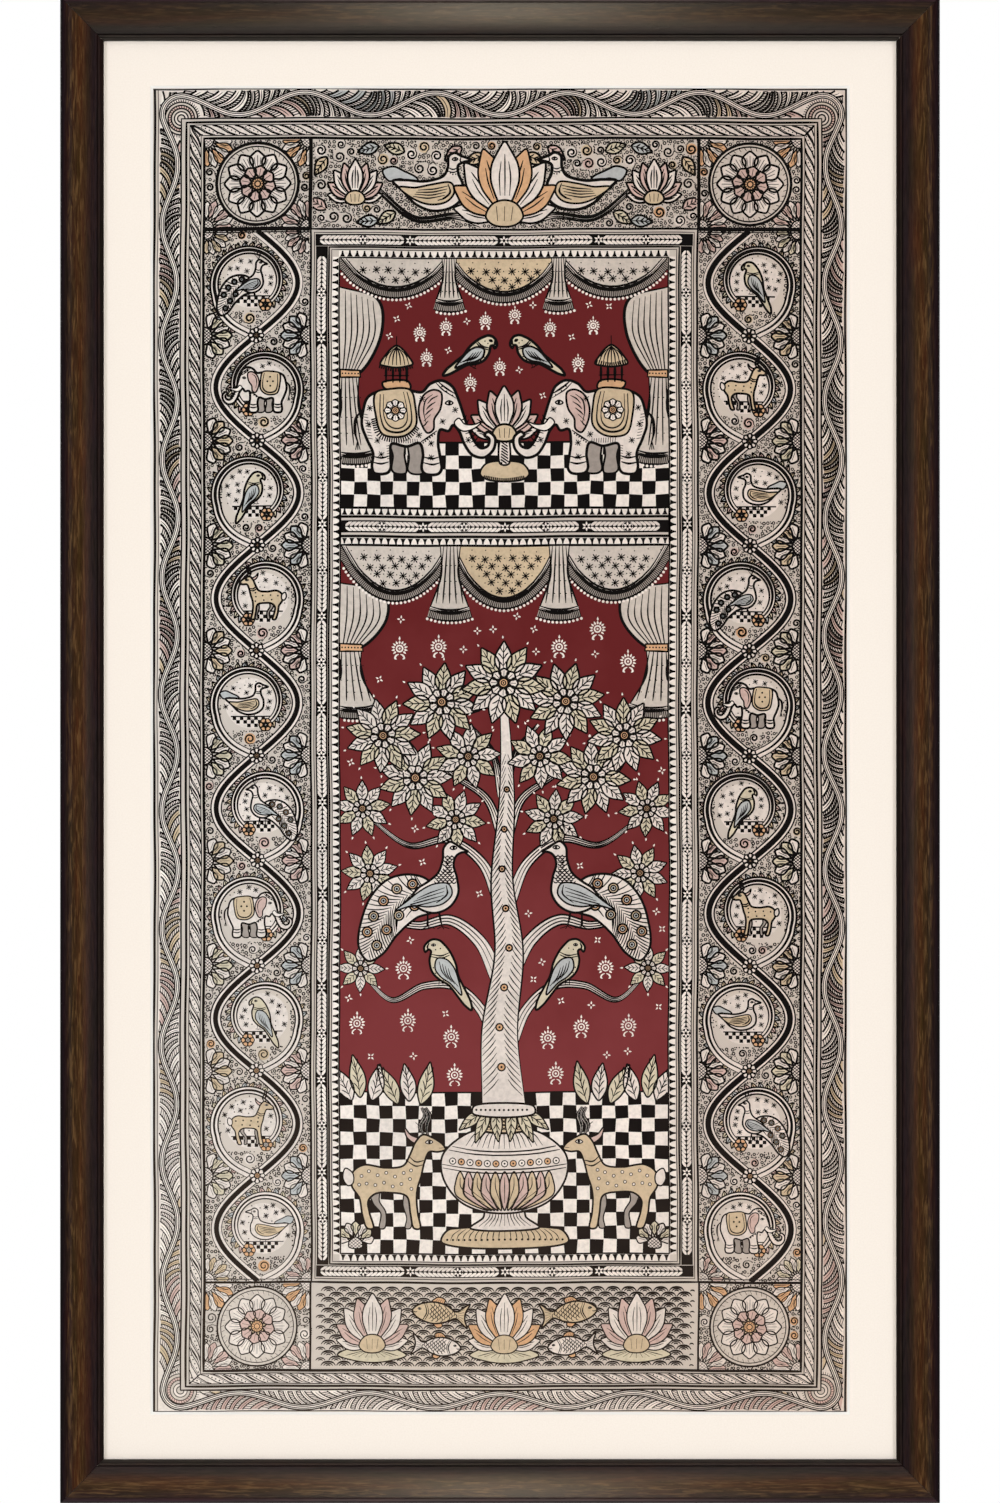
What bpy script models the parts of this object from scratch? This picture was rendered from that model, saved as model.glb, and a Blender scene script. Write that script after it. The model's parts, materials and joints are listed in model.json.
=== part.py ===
"""A framed pattachitra painting: painted cloth behind a window mount, in a mitred wooden frame.

Metres, +Z up, the picture faces -Y. The origin is on the wall plane, at the middle of the back of
the top rail, where the frame lies against the wall.
"""

import math

import bmesh
import bpy
from mathutils import Matrix

MM = 0.001

# The painting that shows in the window, and the borders round it.
PICTURE_WIDTH = 483 * MM
PICTURE_HEIGHT = 921 * MM
SIDE_BORDER = 34 * MM
END_BORDER = 32.5 * MM
CLOTH_OVERLAP = 10 * MM

# The stack behind the lip, from the wall forward.
BACK_RECESS = 6 * MM
BACKING_THICKNESS = 3 * MM
CLOTH_THICKNESS = 1 * MM
BOARD_THICKNESS = 1.6 * MM
CLEARANCE = 0.3 * MM

# The moulding. Widths run outwards from the sight edge, and depths forward from the wall.
MOULDING_WIDTH = 30 * MM
MOULDING_DEPTH = 23 * MM
REBATE_WIDTH = 8 * MM
REBATE_SIDE_PLAY = 1 * MM
LIP_THICKNESS = 3 * MM
EDGE_RADIUS = 6.5 * MM
BEAD_RADIUS = 1.2 * MM
BEAD_CENTRE = 3 * MM
SLOPE_FOOT_WIDTH = 4.6 * MM
SLOPE_FOOT_DEPTH = 17 * MM
SLOPE_FULLNESS = 1.7
BACK_CHAMFER = 0.8 * MM
ARC_STEPS = 7
SLOPE_STEPS = 8

# What follows from them.
SIGHT_WIDTH = PICTURE_WIDTH + 2 * SIDE_BORDER
SIGHT_HEIGHT = PICTURE_HEIGHT + 2 * END_BORDER
CLOTH_BACK = BACK_RECESS + BACKING_THICKNESS + CLEARANCE
BOARD_BACK = CLOTH_BACK + CLOTH_THICKNESS + CLEARANCE
LIP_BACK = BOARD_BACK + BOARD_THICKNESS + CLEARANCE
LIP_FRONT = LIP_BACK + LIP_THICKNESS
INSERT_WIDTH = SIGHT_WIDTH + 2 * (REBATE_WIDTH - REBATE_SIDE_PLAY)
INSERT_HEIGHT = SIGHT_HEIGHT + 2 * (REBATE_WIDTH - REBATE_SIDE_PLAY)
PICTURE_CENTRE_Z = -(SIGHT_HEIGHT / 2 + (REBATE_WIDTH + MOULDING_WIDTH) / 2)
MITRE_SETBACK = CLEARANCE / 2 * math.sqrt(2)

# Name, colour, roughness.
FINISHES = {
    "frame_wood": ((0.058, 0.030, 0.018), 0.32),
    "mount_card": ((0.939, 0.877, 0.791), 0.85),
    "painted_fabric": ((0.520, 0.470, 0.420), 0.80),
    "backing_hardboard": ((0.300, 0.190, 0.105), 0.75),
}


def clear_scene():
    for thing in list(bpy.data.objects):
        bpy.data.objects.remove(thing, do_unlink=True)


def make_collection(name):
    collection = bpy.data.collections.new(name)
    bpy.context.scene.collection.children.link(collection)
    return collection


def make_material(name):
    colour, roughness = FINISHES[name]
    material = bpy.data.materials.new(name)
    material.use_nodes = True
    shader = material.node_tree.nodes["Principled BSDF"]
    shader.inputs["Base Color"].default_value = (*colour, 1)
    shader.inputs["Roughness"].default_value = roughness
    shader.inputs["Metallic"].default_value = 0
    material.diffuse_color = (*colour, 1)
    return material


def arc(centre, radius, start, end, steps):
    """Points along a round stretch, from angle start to angle end in degrees."""
    points = []
    for step in range(steps + 1):
        angle = math.radians(start + (end - start) * step / steps)
        points.append((centre[0] + radius * math.cos(angle), centre[1] + radius * math.sin(angle)))
    return points


def face_slope():
    """The gently rounded face that falls from the crown to the bead."""
    crown_width = MOULDING_WIDTH - EDGE_RADIUS
    points = []
    for step in range(1, SLOPE_STEPS + 1):
        share = step / SLOPE_STEPS
        width = crown_width + (SLOPE_FOOT_WIDTH - crown_width) * share
        depth = MOULDING_DEPTH - (MOULDING_DEPTH - SLOPE_FOOT_DEPTH) * share**SLOPE_FULLNESS
        points.append((width, depth))
    return points


def moulding_outline():
    """The moulding's section as (width from the sight edge, depth from the wall), anticlockwise."""
    edge_centre = (MOULDING_WIDTH - EDGE_RADIUS, MOULDING_DEPTH - EDGE_RADIUS)
    bead_centre = (BEAD_CENTRE, LIP_FRONT)
    return [
        (REBATE_WIDTH, 0),
        (MOULDING_WIDTH - BACK_CHAMFER, 0),
        (MOULDING_WIDTH, BACK_CHAMFER),
        *arc(edge_centre, EDGE_RADIUS, 0, 90, ARC_STEPS),
        *face_slope(),
        *arc(bead_centre, BEAD_RADIUS, 0, 180, ARC_STEPS),
        (0, LIP_FRONT),
        (0, LIP_BACK),
        (REBATE_WIDTH, LIP_BACK),
    ]


def extruded_mesh(name, outlines, thickness):
    """A mesh of flat outlines, the later ones holes in the first, extruded both ways along Z."""
    curve = bpy.data.curves.new(name, "CURVE")
    curve.dimensions = "2D"
    curve.fill_mode = "BOTH"
    curve.extrude = thickness / 2
    for outline in outlines:
        spline = curve.splines.new("POLY")
        spline.points.add(len(outline) - 1)
        for point, (x, y) in zip(spline.points, outline):
            point.co = (x, y, 0, 1)
        spline.use_cyclic_u = True
    guide = bpy.data.objects.new(name + "_outline", curve)
    bpy.context.scene.collection.objects.link(guide)
    evaluated = guide.evaluated_get(bpy.context.evaluated_depsgraph_get())
    mesh = bpy.data.meshes.new_from_object(evaluated)
    bpy.data.objects.remove(guide)
    weld(mesh)
    mesh.name = name
    return mesh


def weld(mesh):
    shape = bmesh.new()
    shape.from_mesh(mesh)
    bmesh.ops.remove_doubles(shape, verts=shape.verts, dist=0.001 * MM)
    bmesh.ops.recalc_face_normals(shape, faces=shape.faces)
    shape.to_mesh(mesh)
    shape.free()


def rectangle(width, height):
    x, y = width / 2, height / 2
    return [(-x, -y), (x, -y), (x, y), (-x, y)]


def place(name, mesh, collection, finish, matrix):
    part = bpy.data.objects.new(name, mesh)
    mesh.materials.append(finish)
    collection.objects.link(part)
    part.matrix_world = matrix
    return part


def facing_forward(depth):
    """Stands a flat shape upright in the picture's middle, its thickness centred on this depth."""
    return Matrix.Translation((0, -depth, PICTURE_CENTRE_Z)) @ Matrix.Rotation(math.pi / 2, 4, "X")


def mitre_ends(mesh):
    """Lengthens each end outwards, so that it slopes at 45 degrees and stops short of its neighbour."""
    for vertex in mesh.vertices:
        way = 1 if vertex.co.z > 0 else -1
        vertex.co.z += way * (vertex.co.x - MITRE_SETBACK)


def make_rail(name, sight_length, sight_distance, turn, collection, finish):
    """One length of moulding, its sight edge at this distance from the picture's middle."""
    mesh = extruded_mesh(name, [moulding_outline()], sight_length)
    mitre_ends(mesh)
    shade_round_faces(mesh)
    upright = Matrix(((0, 0, 1, 0), (0, -1, 0, 0), (1, 0, 0, sight_distance), (0, 0, 0, 1)))
    middle = Matrix.Translation((0, 0, PICTURE_CENTRE_Z))
    turned = Matrix.Rotation(math.radians(turn), 4, "Y")
    return place(name, mesh, collection, finish, middle @ turned @ upright)


def shade_round_faces(mesh):
    mesh.shade_smooth()
    mesh.set_sharp_from_angle(angle=math.radians(30))


def make_frame(collection):
    finish = make_material("frame_wood")
    rails = {
        "frame_rail_top": (SIGHT_WIDTH, SIGHT_HEIGHT / 2, 0),
        "frame_rail_right": (SIGHT_HEIGHT, SIGHT_WIDTH / 2, 90),
        "frame_rail_bottom": (SIGHT_WIDTH, SIGHT_HEIGHT / 2, 180),
        "frame_rail_left": (SIGHT_HEIGHT, SIGHT_WIDTH / 2, 270),
    }
    for name, (sight_length, sight_distance, turn) in rails.items():
        make_rail(name, sight_length, sight_distance, turn, collection, finish)


def make_mount_board(collection):
    """The card with a window in it, whose edge is bevelled at 45 degrees, widest at the front."""
    outer = rectangle(INSERT_WIDTH, INSERT_HEIGHT)
    window = rectangle(PICTURE_WIDTH, PICTURE_HEIGHT)
    mesh = extruded_mesh("mount_board", [outer, window], BOARD_THICKNESS)
    for vertex in mesh.vertices:
        in_window = abs(vertex.co.x) < (PICTURE_WIDTH + INSERT_WIDTH) / 4
        if in_window and vertex.co.z > 0:
            vertex.co.x += math.copysign(BOARD_THICKNESS, vertex.co.x)
            vertex.co.y += math.copysign(BOARD_THICKNESS, vertex.co.y)
    finish = make_material("mount_card")
    place("mount_board", mesh, collection, finish, facing_forward(BOARD_BACK + BOARD_THICKNESS / 2))


def make_painted_cloth(collection):
    """The painted cloth, held flat behind the mount board, which covers its edges."""
    outline = rectangle(PICTURE_WIDTH + 2 * CLOTH_OVERLAP, PICTURE_HEIGHT + 2 * CLOTH_OVERLAP)
    mesh = extruded_mesh("painted_cloth", [outline], CLOTH_THICKNESS)
    finish = make_material("painted_fabric")
    place("painted_cloth", mesh, collection, finish, facing_forward(CLOTH_BACK + CLOTH_THICKNESS / 2))


def make_backing_board(collection):
    mesh = extruded_mesh("backing_board", [rectangle(INSERT_WIDTH, INSERT_HEIGHT)], BACKING_THICKNESS)
    finish = make_material("backing_hardboard")
    place("backing_board", mesh, collection, finish, facing_forward(BACK_RECESS + BACKING_THICKNESS / 2))


def main():
    clear_scene()
    picture = make_collection("framed_pattachitra_painting")
    make_frame(picture)
    make_mount_board(picture)
    make_painted_cloth(picture)
    make_backing_board(picture)


main()
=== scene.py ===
# A pattachitra painting on cloth behind a cream window mount, in a dark moulded frame.
import json
import random
from itertools import product
from math import atan2, ceil, cos, dist, hypot, pi, remainder, sin

import bmesh
import bpy
import numpy as np
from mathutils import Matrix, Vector
from mathutils.geometry import tessellate_polygon

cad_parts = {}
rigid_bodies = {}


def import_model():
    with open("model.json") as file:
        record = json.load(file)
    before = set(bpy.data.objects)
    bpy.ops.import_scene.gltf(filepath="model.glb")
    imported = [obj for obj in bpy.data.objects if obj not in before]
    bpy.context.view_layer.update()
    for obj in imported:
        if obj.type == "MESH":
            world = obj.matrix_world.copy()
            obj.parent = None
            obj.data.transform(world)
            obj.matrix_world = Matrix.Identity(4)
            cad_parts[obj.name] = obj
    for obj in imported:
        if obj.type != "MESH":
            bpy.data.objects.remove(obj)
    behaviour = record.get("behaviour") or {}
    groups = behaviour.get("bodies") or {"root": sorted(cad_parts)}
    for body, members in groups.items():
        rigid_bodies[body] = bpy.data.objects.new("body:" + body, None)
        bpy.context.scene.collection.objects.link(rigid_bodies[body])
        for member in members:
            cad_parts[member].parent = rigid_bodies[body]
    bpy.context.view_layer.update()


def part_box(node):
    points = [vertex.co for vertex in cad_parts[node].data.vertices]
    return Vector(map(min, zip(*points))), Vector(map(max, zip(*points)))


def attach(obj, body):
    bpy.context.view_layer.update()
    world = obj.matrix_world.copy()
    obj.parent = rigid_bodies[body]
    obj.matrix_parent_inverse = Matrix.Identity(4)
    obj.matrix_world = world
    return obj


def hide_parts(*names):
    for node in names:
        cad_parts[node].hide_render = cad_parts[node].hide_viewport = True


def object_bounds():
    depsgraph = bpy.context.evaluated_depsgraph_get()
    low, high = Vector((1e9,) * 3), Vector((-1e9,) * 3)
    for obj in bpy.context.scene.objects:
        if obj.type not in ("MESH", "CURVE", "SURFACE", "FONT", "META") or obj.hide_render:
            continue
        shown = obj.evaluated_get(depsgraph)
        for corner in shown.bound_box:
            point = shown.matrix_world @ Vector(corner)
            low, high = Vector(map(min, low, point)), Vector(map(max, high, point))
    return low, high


for spare in list(bpy.data.objects):
    bpy.data.objects.remove(spare)
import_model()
scene = bpy.context.scene
clothLow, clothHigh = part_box("painted_cloth")
windowMiddle = Vector(((clothLow[0] + clothHigh[0]) / 2, 0, (clothLow[2] + clothHigh[2]) / 2))
clothFront = clothLow[1]
print("frame loaded")


sheetWidth, sheetHeight = 483.0, 921.0     # the painted sheet, in painting millimetres: u right, v down
pens = {"fine": .8, "plain": 1.14, "firm": 1.6}
# how hard the pen is pressed, how much drier it runs low on the left, and how its lines swell and taper
hand = {"touch": 1.0, "full": 1.3, "dry": .56, "from": 300, "over": 430, "swell": (.92, 1.08),
        "tip": .45, "fill": 2.2}
limits = []                                # the panel that marks are trimmed to, while one is set
lines, areas, stamps = [], [], []
dice = random.Random(11)
paints = {"ink": (14, 10, 8), "pale": (227, 219, 212), "white": (240, 234, 227), "maroon": (110, 43, 44),
          "ochre": (207, 188, 158), "orange": (212, 170, 130), "pink": (206, 180, 172),
          "blue": (184, 189, 190), "lemon": (210, 202, 178), "grey": (160, 152, 145),
          "cloth": (206, 198, 189), "black": (14, 10, 8)}
tints = ["ochre", "pink", "lemon", "blue"]


# small helpers for points

def points(text):
    # places written as "x,y x,y"
    return [tuple(float(n) for n in pair.split(",")) for pair in text.split()]


def placing(u, v, size=1.0, turn=0.0, flip=1):
    c, s = cos(turn) * size, sin(turn) * size
    return lambda places: [(u + c * x * flip - s * y, v + s * x * flip + c * y) for x, y in places]


def along(start, end):
    # the way from start to end as a measure of its own, and its length
    return placing(*start, 1, atan2(end[1] - start[1], end[0] - start[0])), dist(start, end)


def between(a, b, t):
    return a[0] + (b[0] - a[0]) * t, a[1] + (b[1] - a[1]) * t


def around(u, v, r, angles):
    return [(u + r * cos(a), v + r * sin(a)) for a in angles]


def box(left, top, right, bottom):
    return [(left, top), (right, top), (right, bottom), (left, bottom)]


def smooth(path, closed=False, step=0.8):
    # a soft curve through the points
    n = len(path)
    if n < 3:
        return list(path)
    out = []
    for i in range(n if closed else n - 1):
        b, c = path[i], path[(i + 1) % n]
        a = path[i - 1] if closed or i else (2 * b[0] - c[0], 2 * b[1] - c[1])
        d = path[(i + 2) % n] if closed or i + 2 < n else (2 * c[0] - b[0], 2 * c[1] - b[1])
        ab, bc, cd = (max(dist(p, q), 1e-6) ** 0.5 for p, q in ((a, b), (b, c), (c, d)))
        m1 = [(c[k] - b[k]) + bc * ((b[k] - a[k]) / ab - (c[k] - a[k]) / (ab + bc)) for k in (0, 1)]
        m2 = [(c[k] - b[k]) + bc * ((d[k] - c[k]) / cd - (d[k] - b[k]) / (bc + cd)) for k in (0, 1)]
        steps = max(2, min(24, round(dist(b, c) / step)))
        for j in range(steps):
            t = j / steps
            h = 2 * t ** 3 - 3 * t * t + 1, t ** 3 - 2 * t * t + t, 3 * t * t - 2 * t ** 3, t ** 3 - t * t
            out.append(tuple(h[0] * b[k] + h[1] * m1[k] + h[2] * c[k] + h[3] * m2[k] for k in (0, 1)))
    return out if closed else out + [tuple(path[-1])]


def spaced(path, gap):
    # places along a path, each with its heading
    out, carry = [], 0.0
    for a, b in zip(path, path[1:]):
        span = dist(a, b)
        if span < 1e-9:
            continue
        heading = atan2(b[1] - a[1], b[0] - a[0])
        while carry <= span:
            out.append((*between(a, b, carry / span), heading))
            carry += gap
        carry -= span
    return out


def beside(path, away):
    # the same path, shifted sideways; away may name a shift for each point
    out = []
    for i, (x, y) in enumerate(path):
        a, b = path[max(i - 1, 0)], path[min(i + 1, len(path) - 1)]
        shift = (away(i) if callable(away) else away) / max(dist(a, b), 1e-9)
        out.append((x - shift * (b[1] - a[1]), y + shift * (b[0] - a[0])))
    return out


def within(patch, x, y):
    held = False
    for (ax, ay), (bx, by) in zip(patch, patch[1:] + patch[:1]):
        if (ay > y) != (by > y) and x < (bx - ax) * (y - ay) / (by - ay) + ax:
            held = not held
    return held


def cut(path, patch, step=0.7):
    # the runs of a path that lie inside a patch
    runs, run = [], []
    for a, b in zip(path, path[1:]):
        count = max(1, ceil(dist(a, b) / step))
        for k in range(count):
            p = between(a, b, k / count)
            if within(patch, *p):
                run.append(p)
            elif run:
                runs.append(run)
                run = []
    return [r for r in runs + [run] if len(r) > 1]


# marks

def trimmed(path, closed):
    # a path cut off at the sides of the panel
    if not limits:
        return [path]
    l, t, r, b = limits
    held = [l <= x <= r and t <= y <= b for x, y in path]
    if all(held):
        return [path]
    if not closed:
        return cut(path, box(*limits)) if any(held) or len(path) < 4 else []
    for axis, limit, sign in ((0, l, 1), (0, r, -1), (1, t, 1), (1, b, -1)):
        out = []
        for p, q in zip(path, path[1:] + path[:1]):
            a, c = sign * (p[axis] - limit), sign * (q[axis] - limit)
            if a >= 0:
                out.append(p)
            if (a >= 0) != (c >= 0):
                out.append(between(p, q, a / (a - c)))
        path = out
        if len(path) < 3:
            return []
    return [path]


def line(path, width="plain", depth=1.0, ink="ink", closed=False, taper=True):
    # one stroke of the pen, through the points as they are
    if closed:
        path = path + path[:1]
    u, v = path[len(path) // 2]
    dryness = min(1, max(0, (v - hand["from"] - .5 * u) / hand["over"]))
    wide = pens.get(width, width) * hand["touch"] * (hand["full"] - hand["dry"] * dryness)
    for run in trimmed(path, False):
        lines.append((run, wide, depth + 0.04, ink, taper and not closed, closed and len(run) == len(path)))


def curve(path, width="plain", depth=1.0, ink="ink"):
    line(smooth(path), width, depth, ink)


def ruled(path, width="fine", depth=1.0, ink="ink"):
    line(path, width, depth, ink, taper=False)


def area(path, paint, depth=1.0):
    areas.extend((run, paint, depth) for run in trimmed(path, True))


def shape(path, paint="pale", depth=1.0, width="plain"):
    # a closed patch of paint with a soft outline
    path = smooth(path, True)
    area(path, paint, depth)
    line(path, width, depth, closed=True)
    return path


def stamp(kind, u, v, size=1.0, turn=0.0, depth=1.0, paint="ink"):
    l, t, r, b = limits or (-99, -99, 999, 999)
    if l + size < u < r - size and t + size < v < b - size:
        stamps.append((kind, u, v, size, turn, depth + 0.06, paint))


def pearls(places, size=.5, depth=1.0, paint="ink"):
    for u, v, *heading in places:
        stamp("pearl", u, v, size, 0, depth, paint)


def strokes(path, gap, long, width="fine", depth=1.0, turn=pi / 2):
    # short even strokes that stand on one side of a path
    for x, y, h in spaced(path, gap):
        ruled([(x, y), around(x, y, long, [h + turn])[0]], width, depth)


def draw(put, depth, table):
    # strokes by rows: what, pen, height, points. A paint's name makes a closed shape in that paint;
    # "by 4 x,y x,y" repeats the stroke 4 times, each time shifted by these steps. Returns the last shape
    rows, last = [], None
    for text in table.strip().split("\n"):
        if text.strip()[0].isalpha():
            rows.append(text)
        else:
            rows[-1] += text
    for row in rows:
        first, _, again = row.partition(" by ")
        what, pen, up, *places = first.split()
        count, *steps = again.split() or ["1"]
        pen, up = pens.get(pen) or float(pen), depth + float(up)
        start, steps = points(" ".join(places)), points(" ".join(steps)) or [(0, 0)] * len(places)
        for k in range(int(count)):
            path = [(x + k * dx, y + k * dy) for (x, y), (dx, dy) in zip(start, steps)]
            if what == "eye":
                eye(put, *path[0], pen, up)
            elif what == "dots":
                pearls(put(path), pen, up)
            elif what in paints:
                last = shape(put(path), what, up, pen)
            else:
                (line if what == "bar" else curve)(put(path), pen, up)
    return last


def leafOutline(length, width, bend=0.0, tip=0.62):
    # a leaf along +x from its stalk; a low tip value makes it fuller near the point
    sides = [[(length * t, side * width / 2 * sin(pi * t ** tip) + bend * length * t * t)
              for t in (0, .12, .3, .5, .7, .88)] for side in (-1, 1)]
    return sides[0] + [(length, bend * length)] + sides[1][:0:-1]


def leaf(put, length, width, paint="pale", depth=1.0, bend=0.0, veins=4, wide="plain", tip=0.8):
    shape(put(leafOutline(length, width, bend, tip)), paint, depth, wide)
    own = placing(0, 0, length)
    curve(put(own([(0, 0), (.5, bend * .25), (.92, bend * .85)])), "fine", depth)
    for k in range(veins):
        t = (k + 1) / (veins + 1.3)
        y = bend * t * t
        reach = .33 * sin(pi * min(t + .16, 1) ** tip) ** .5
        for side in (-width / length, width / length):
            vein = [(t * .9, y), (t + .1, y + side * .18), (t + .16, y + side * reach)]
            curve(put(own(vein)), "fine", depth)


# free room between the motifs

def roomLeft(region, since):
    # a grid of 1 mm cells, true where none of the marks made since then lies
    l, t, r, b = region
    free = np.ones((int(b - t) + 1, int(r - l) + 1), bool)
    rows, cols = free.shape
    for path, *_ in areas[since[0]:]:
        us, vs = [p[0] - l for p in path], [p[1] - t for p in path]
        u0, u1 = max(int(min(us)), 0), min(int(max(us)) + 1, cols)
        v0, v1 = max(int(min(vs)), 0), min(int(max(vs)) + 1, rows)
        if u1 <= u0 or v1 <= v0:
            continue
        x, y = np.meshgrid(np.arange(u0, u1) + .5, np.arange(v0, v1) + .5)
        held = np.zeros(x.shape, bool)
        for i in range(len(us)):
            ax, ay, bx, by = us[i - 1], vs[i - 1], us[i], vs[i]
            if ay != by:
                held ^= ((ay > y) != (by > y)) & (x < (bx - ax) * (y - ay) / (by - ay) + ax)
        free[v0:v1, u0:u1] &= ~held
    for path, *_ in lines[since[1]:]:
        for x, y, _ in spaced(path, .8):
            if 0 <= int(x - l) < cols and 0 <= int(y - t) < rows:
                free[int(y - t), int(x - l)] = False
    return free


def scatter(region, free, clear, tries, make):
    # makes a small mark wherever a random try finds a clear square
    rows, cols = free.shape
    for k in range(tries):
        x, y = dice.randrange(clear, cols - clear), dice.randrange(clear, rows - clear)
        patch = free[y - clear:y + clear + 1, x - clear:x + clear + 1]
        if patch.all():
            patch[:] = False
            make(region[0] + x + .5 + dice.uniform(-.32, .32), region[1] + y + .5 + dice.uniform(-.32, .32))


# small ornament

disc = around(0, 0, 1, [k * pi / 6 for k in range(12)])
stampShapes = {
    "point": points("-1.05,0 -.6,-.8 -.36,-1.5 -.3,-2.25 .3,-2.25 .36,-1.5 .6,-.8 1.05,0"),
    "pearl": disc,
    "drop": points("0,-1.6 .5,-.6 .75,.2 .5,.85 0,1.1 -.5,.85 -.75,.2 -.5,-.6"),
    "check": points("-.5,-.5 .5,-.5 .5,.5 -.5,.5"),
    "ray": points("-.12,0 -.16,-.9 0,-1.25 .16,-.9 .12,0"),
}


def ring(u, v, r, depth=1.0, width="fine", paint=None, ink="ink"):
    path = placing(u, v, r)(disc) if r < 3 else around(u, v, r, [a * pi / 20 for a in range(40)])
    if paint:
        area(path, paint, depth)
    line(path, width, depth, ink, closed=True)


def hatch(path, gap, turns, width="fine", depth=1.0):
    us, vs = [p[0] for p in path], [p[1] for p in path]
    middle = (min(us) + max(us)) / 2, (min(vs) + max(vs)) / 2
    reach = hypot(max(us) - min(us), max(vs) - min(vs)) / 2
    for turn in turns:
        put = placing(*middle, 1, turn)
        for k in range(-int(reach / gap), int(reach / gap) + 1):
            for run in cut(put([(-reach, k * gap), (reach, k * gap)]), path, .5):
                ruled([run[0], run[-1]], width, depth)


def lightly(share, make, *rest):
    # draws with a lighter hand
    before = hand["touch"]
    hand["touch"] = before * share
    make(*rest)
    hand["touch"] = before


def rosette(u, v, r, n=8, depth=1.0, paint="pale", core="ochre", veins=2, turn=0.0):
    for k in range(n):
        put = placing(u, v, 1, turn + 2 * pi * k / n)
        petal = leafOutline(r * .72, 2.3 * r * sin(pi / n) * .82, tip=1.5)
        shape(put([(x + r * .28, y) for x, y in petal]), paint, depth + .012 * k)
        for side in ([], [0], [-.6, .6], [-1, 0, 1])[veins]:
            rib = [(r * .42, side * r * .05), (r * (.86 - .06 * abs(side)), side * r * .1)]
            line(put(rib), "fine", depth + .012 * k)
    ring(u, v, r * .33, depth + .2, "plain", core)
    ring(u, v, r * .16, depth + .2, "fine")
    if r > 12:
        pearls(around(u, v, r * .245, [k * pi / 6 for k in range(12)]), r * .03, depth + .4)
    else:
        pearls([(u, v)], r * .07, depth + .4)


def fan(put, r, n, spread, tint, depth=1.0):
    # a shell of ribbed petals that opens along +x
    for k in sorted(range(n), key=lambda k: -abs(k - (n - 1) / 2)):
        a = -spread + 2 * spread * k / (n - 1)
        depth += .02
        long = r * (1 - .12 * (a / spread) ** 2)
        own = placing(0, 0, 1, a)
        petal = leafOutline(long * .74, 2.0 * r * sin(spread / (n - 1)) * 1.02, tip=1.7)
        shape(put(own([(x + long * .26, y) for x, y in petal])), tint if k % 2 else "pale", depth)
        line(put(own([(long * t, 0) for t in (.5, .66, .86)])), "fine", depth)
        for w in (-.05, .05) if n < 7 else ():
            line(put(own([(long * t, w * long * t / .5) for t in (.6, .7, .78)])), .5, depth)
    seed = placing(0, 0, r)(points("-.2,-.3 .12,-.27 .27,0 .12,.27 -.2,.3"))
    hatch(shape(put(seed), "pale", depth + .2), 1.7, (.7, -.7), .5, depth + .2)


def tendril(u, v, r, depth=1.0):
    # a shoot that rolls up on itself, some on a dab of colour
    put = placing(u, v, r, dice.uniform(0, 6.28), dice.choice((-1, 1)))
    if dice.random() < .7:
        dab = dice.choice(("pink", "pale", "ochre", "orange", "pale"))
        area(put(placing(0, 0, 1.05)(disc)), dab, depth - .1)
    line(put([around(0, 0, 1 - .056 * k, [.68 * k])[0] for k in range(15)]), 1.15, depth)
    draw(put, depth, "bar .9 0 1,.1 1.3,-.25 by 4 0,-.3 -.05,-.34")


def starSprig(u, v, r=3.2, depth=1.0):
    for k in range(8):
        stamp("ray", u, v, r * (.95 if k % 2 else .75), k * pi / 4 + .2, depth)
    stamp("pearl", u, v, r * .16, 0, depth)


def drops(u, v, r, size, angles, depth=1.0):
    # white drops in a circle, pointing outwards
    for a in angles:
        stamp("drop", *around(u, v, r, [a])[0], size, a + pi / 2, depth, "white")


def whiteSprig(u, v, size=1.0, depth=1.0):
    ring(u, v, 2.3 * size, depth, .8, None, "white")
    stamp("pearl", u, v, .8 * size, 0, depth, "white")
    drops(u, v, 4.6 * size, size, [pi * (-1.22 + .144 * k) for k in range(11)], depth)
    drops(u, v, 7.4 * size, size, [-pi / 2], depth)
    for side in (-1, 1):
        foot = placing(u, v, size, 0, side)([(2.6, 5.2), (3.4, 7.2), (2.2, 7.8)])
        curve([(u + side * .6, v + 4.2 * size)] + foot, 1.0, depth, "white")


def whiteCross(u, v, size=1.0, depth=1.0, turn=0.0):
    drops(u, v, 1.7 * size, .85 * size, [turn + k * pi / 2 - pi / 2 for k in range(4)], depth)


# borders

def rule(l, t, r, b, width, depth=1.0):
    line(box(l, t, r, b), width, depth, closed=True)


def underlay(outer, inner, paint, depth):
    # colour under a border, on all four sides
    (l, t, r, b), (left, top, right, bottom) = outer, inner
    for side in ((l, t, r, top), (l, bottom, r, b), (l, top, left, bottom), (right, top, r, bottom)):
        area(box(*side), paint, depth)


feather = {"bend": 9.0, "steps": 44, "gap": 4.4, "lean": .34, "curl": (.042, .085), "ease": .034,
           "tighten": .0009, "longest": 52, "stem": 1.9, "apart": 16, "crowded": 1.2, "clear": 12.4}


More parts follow.
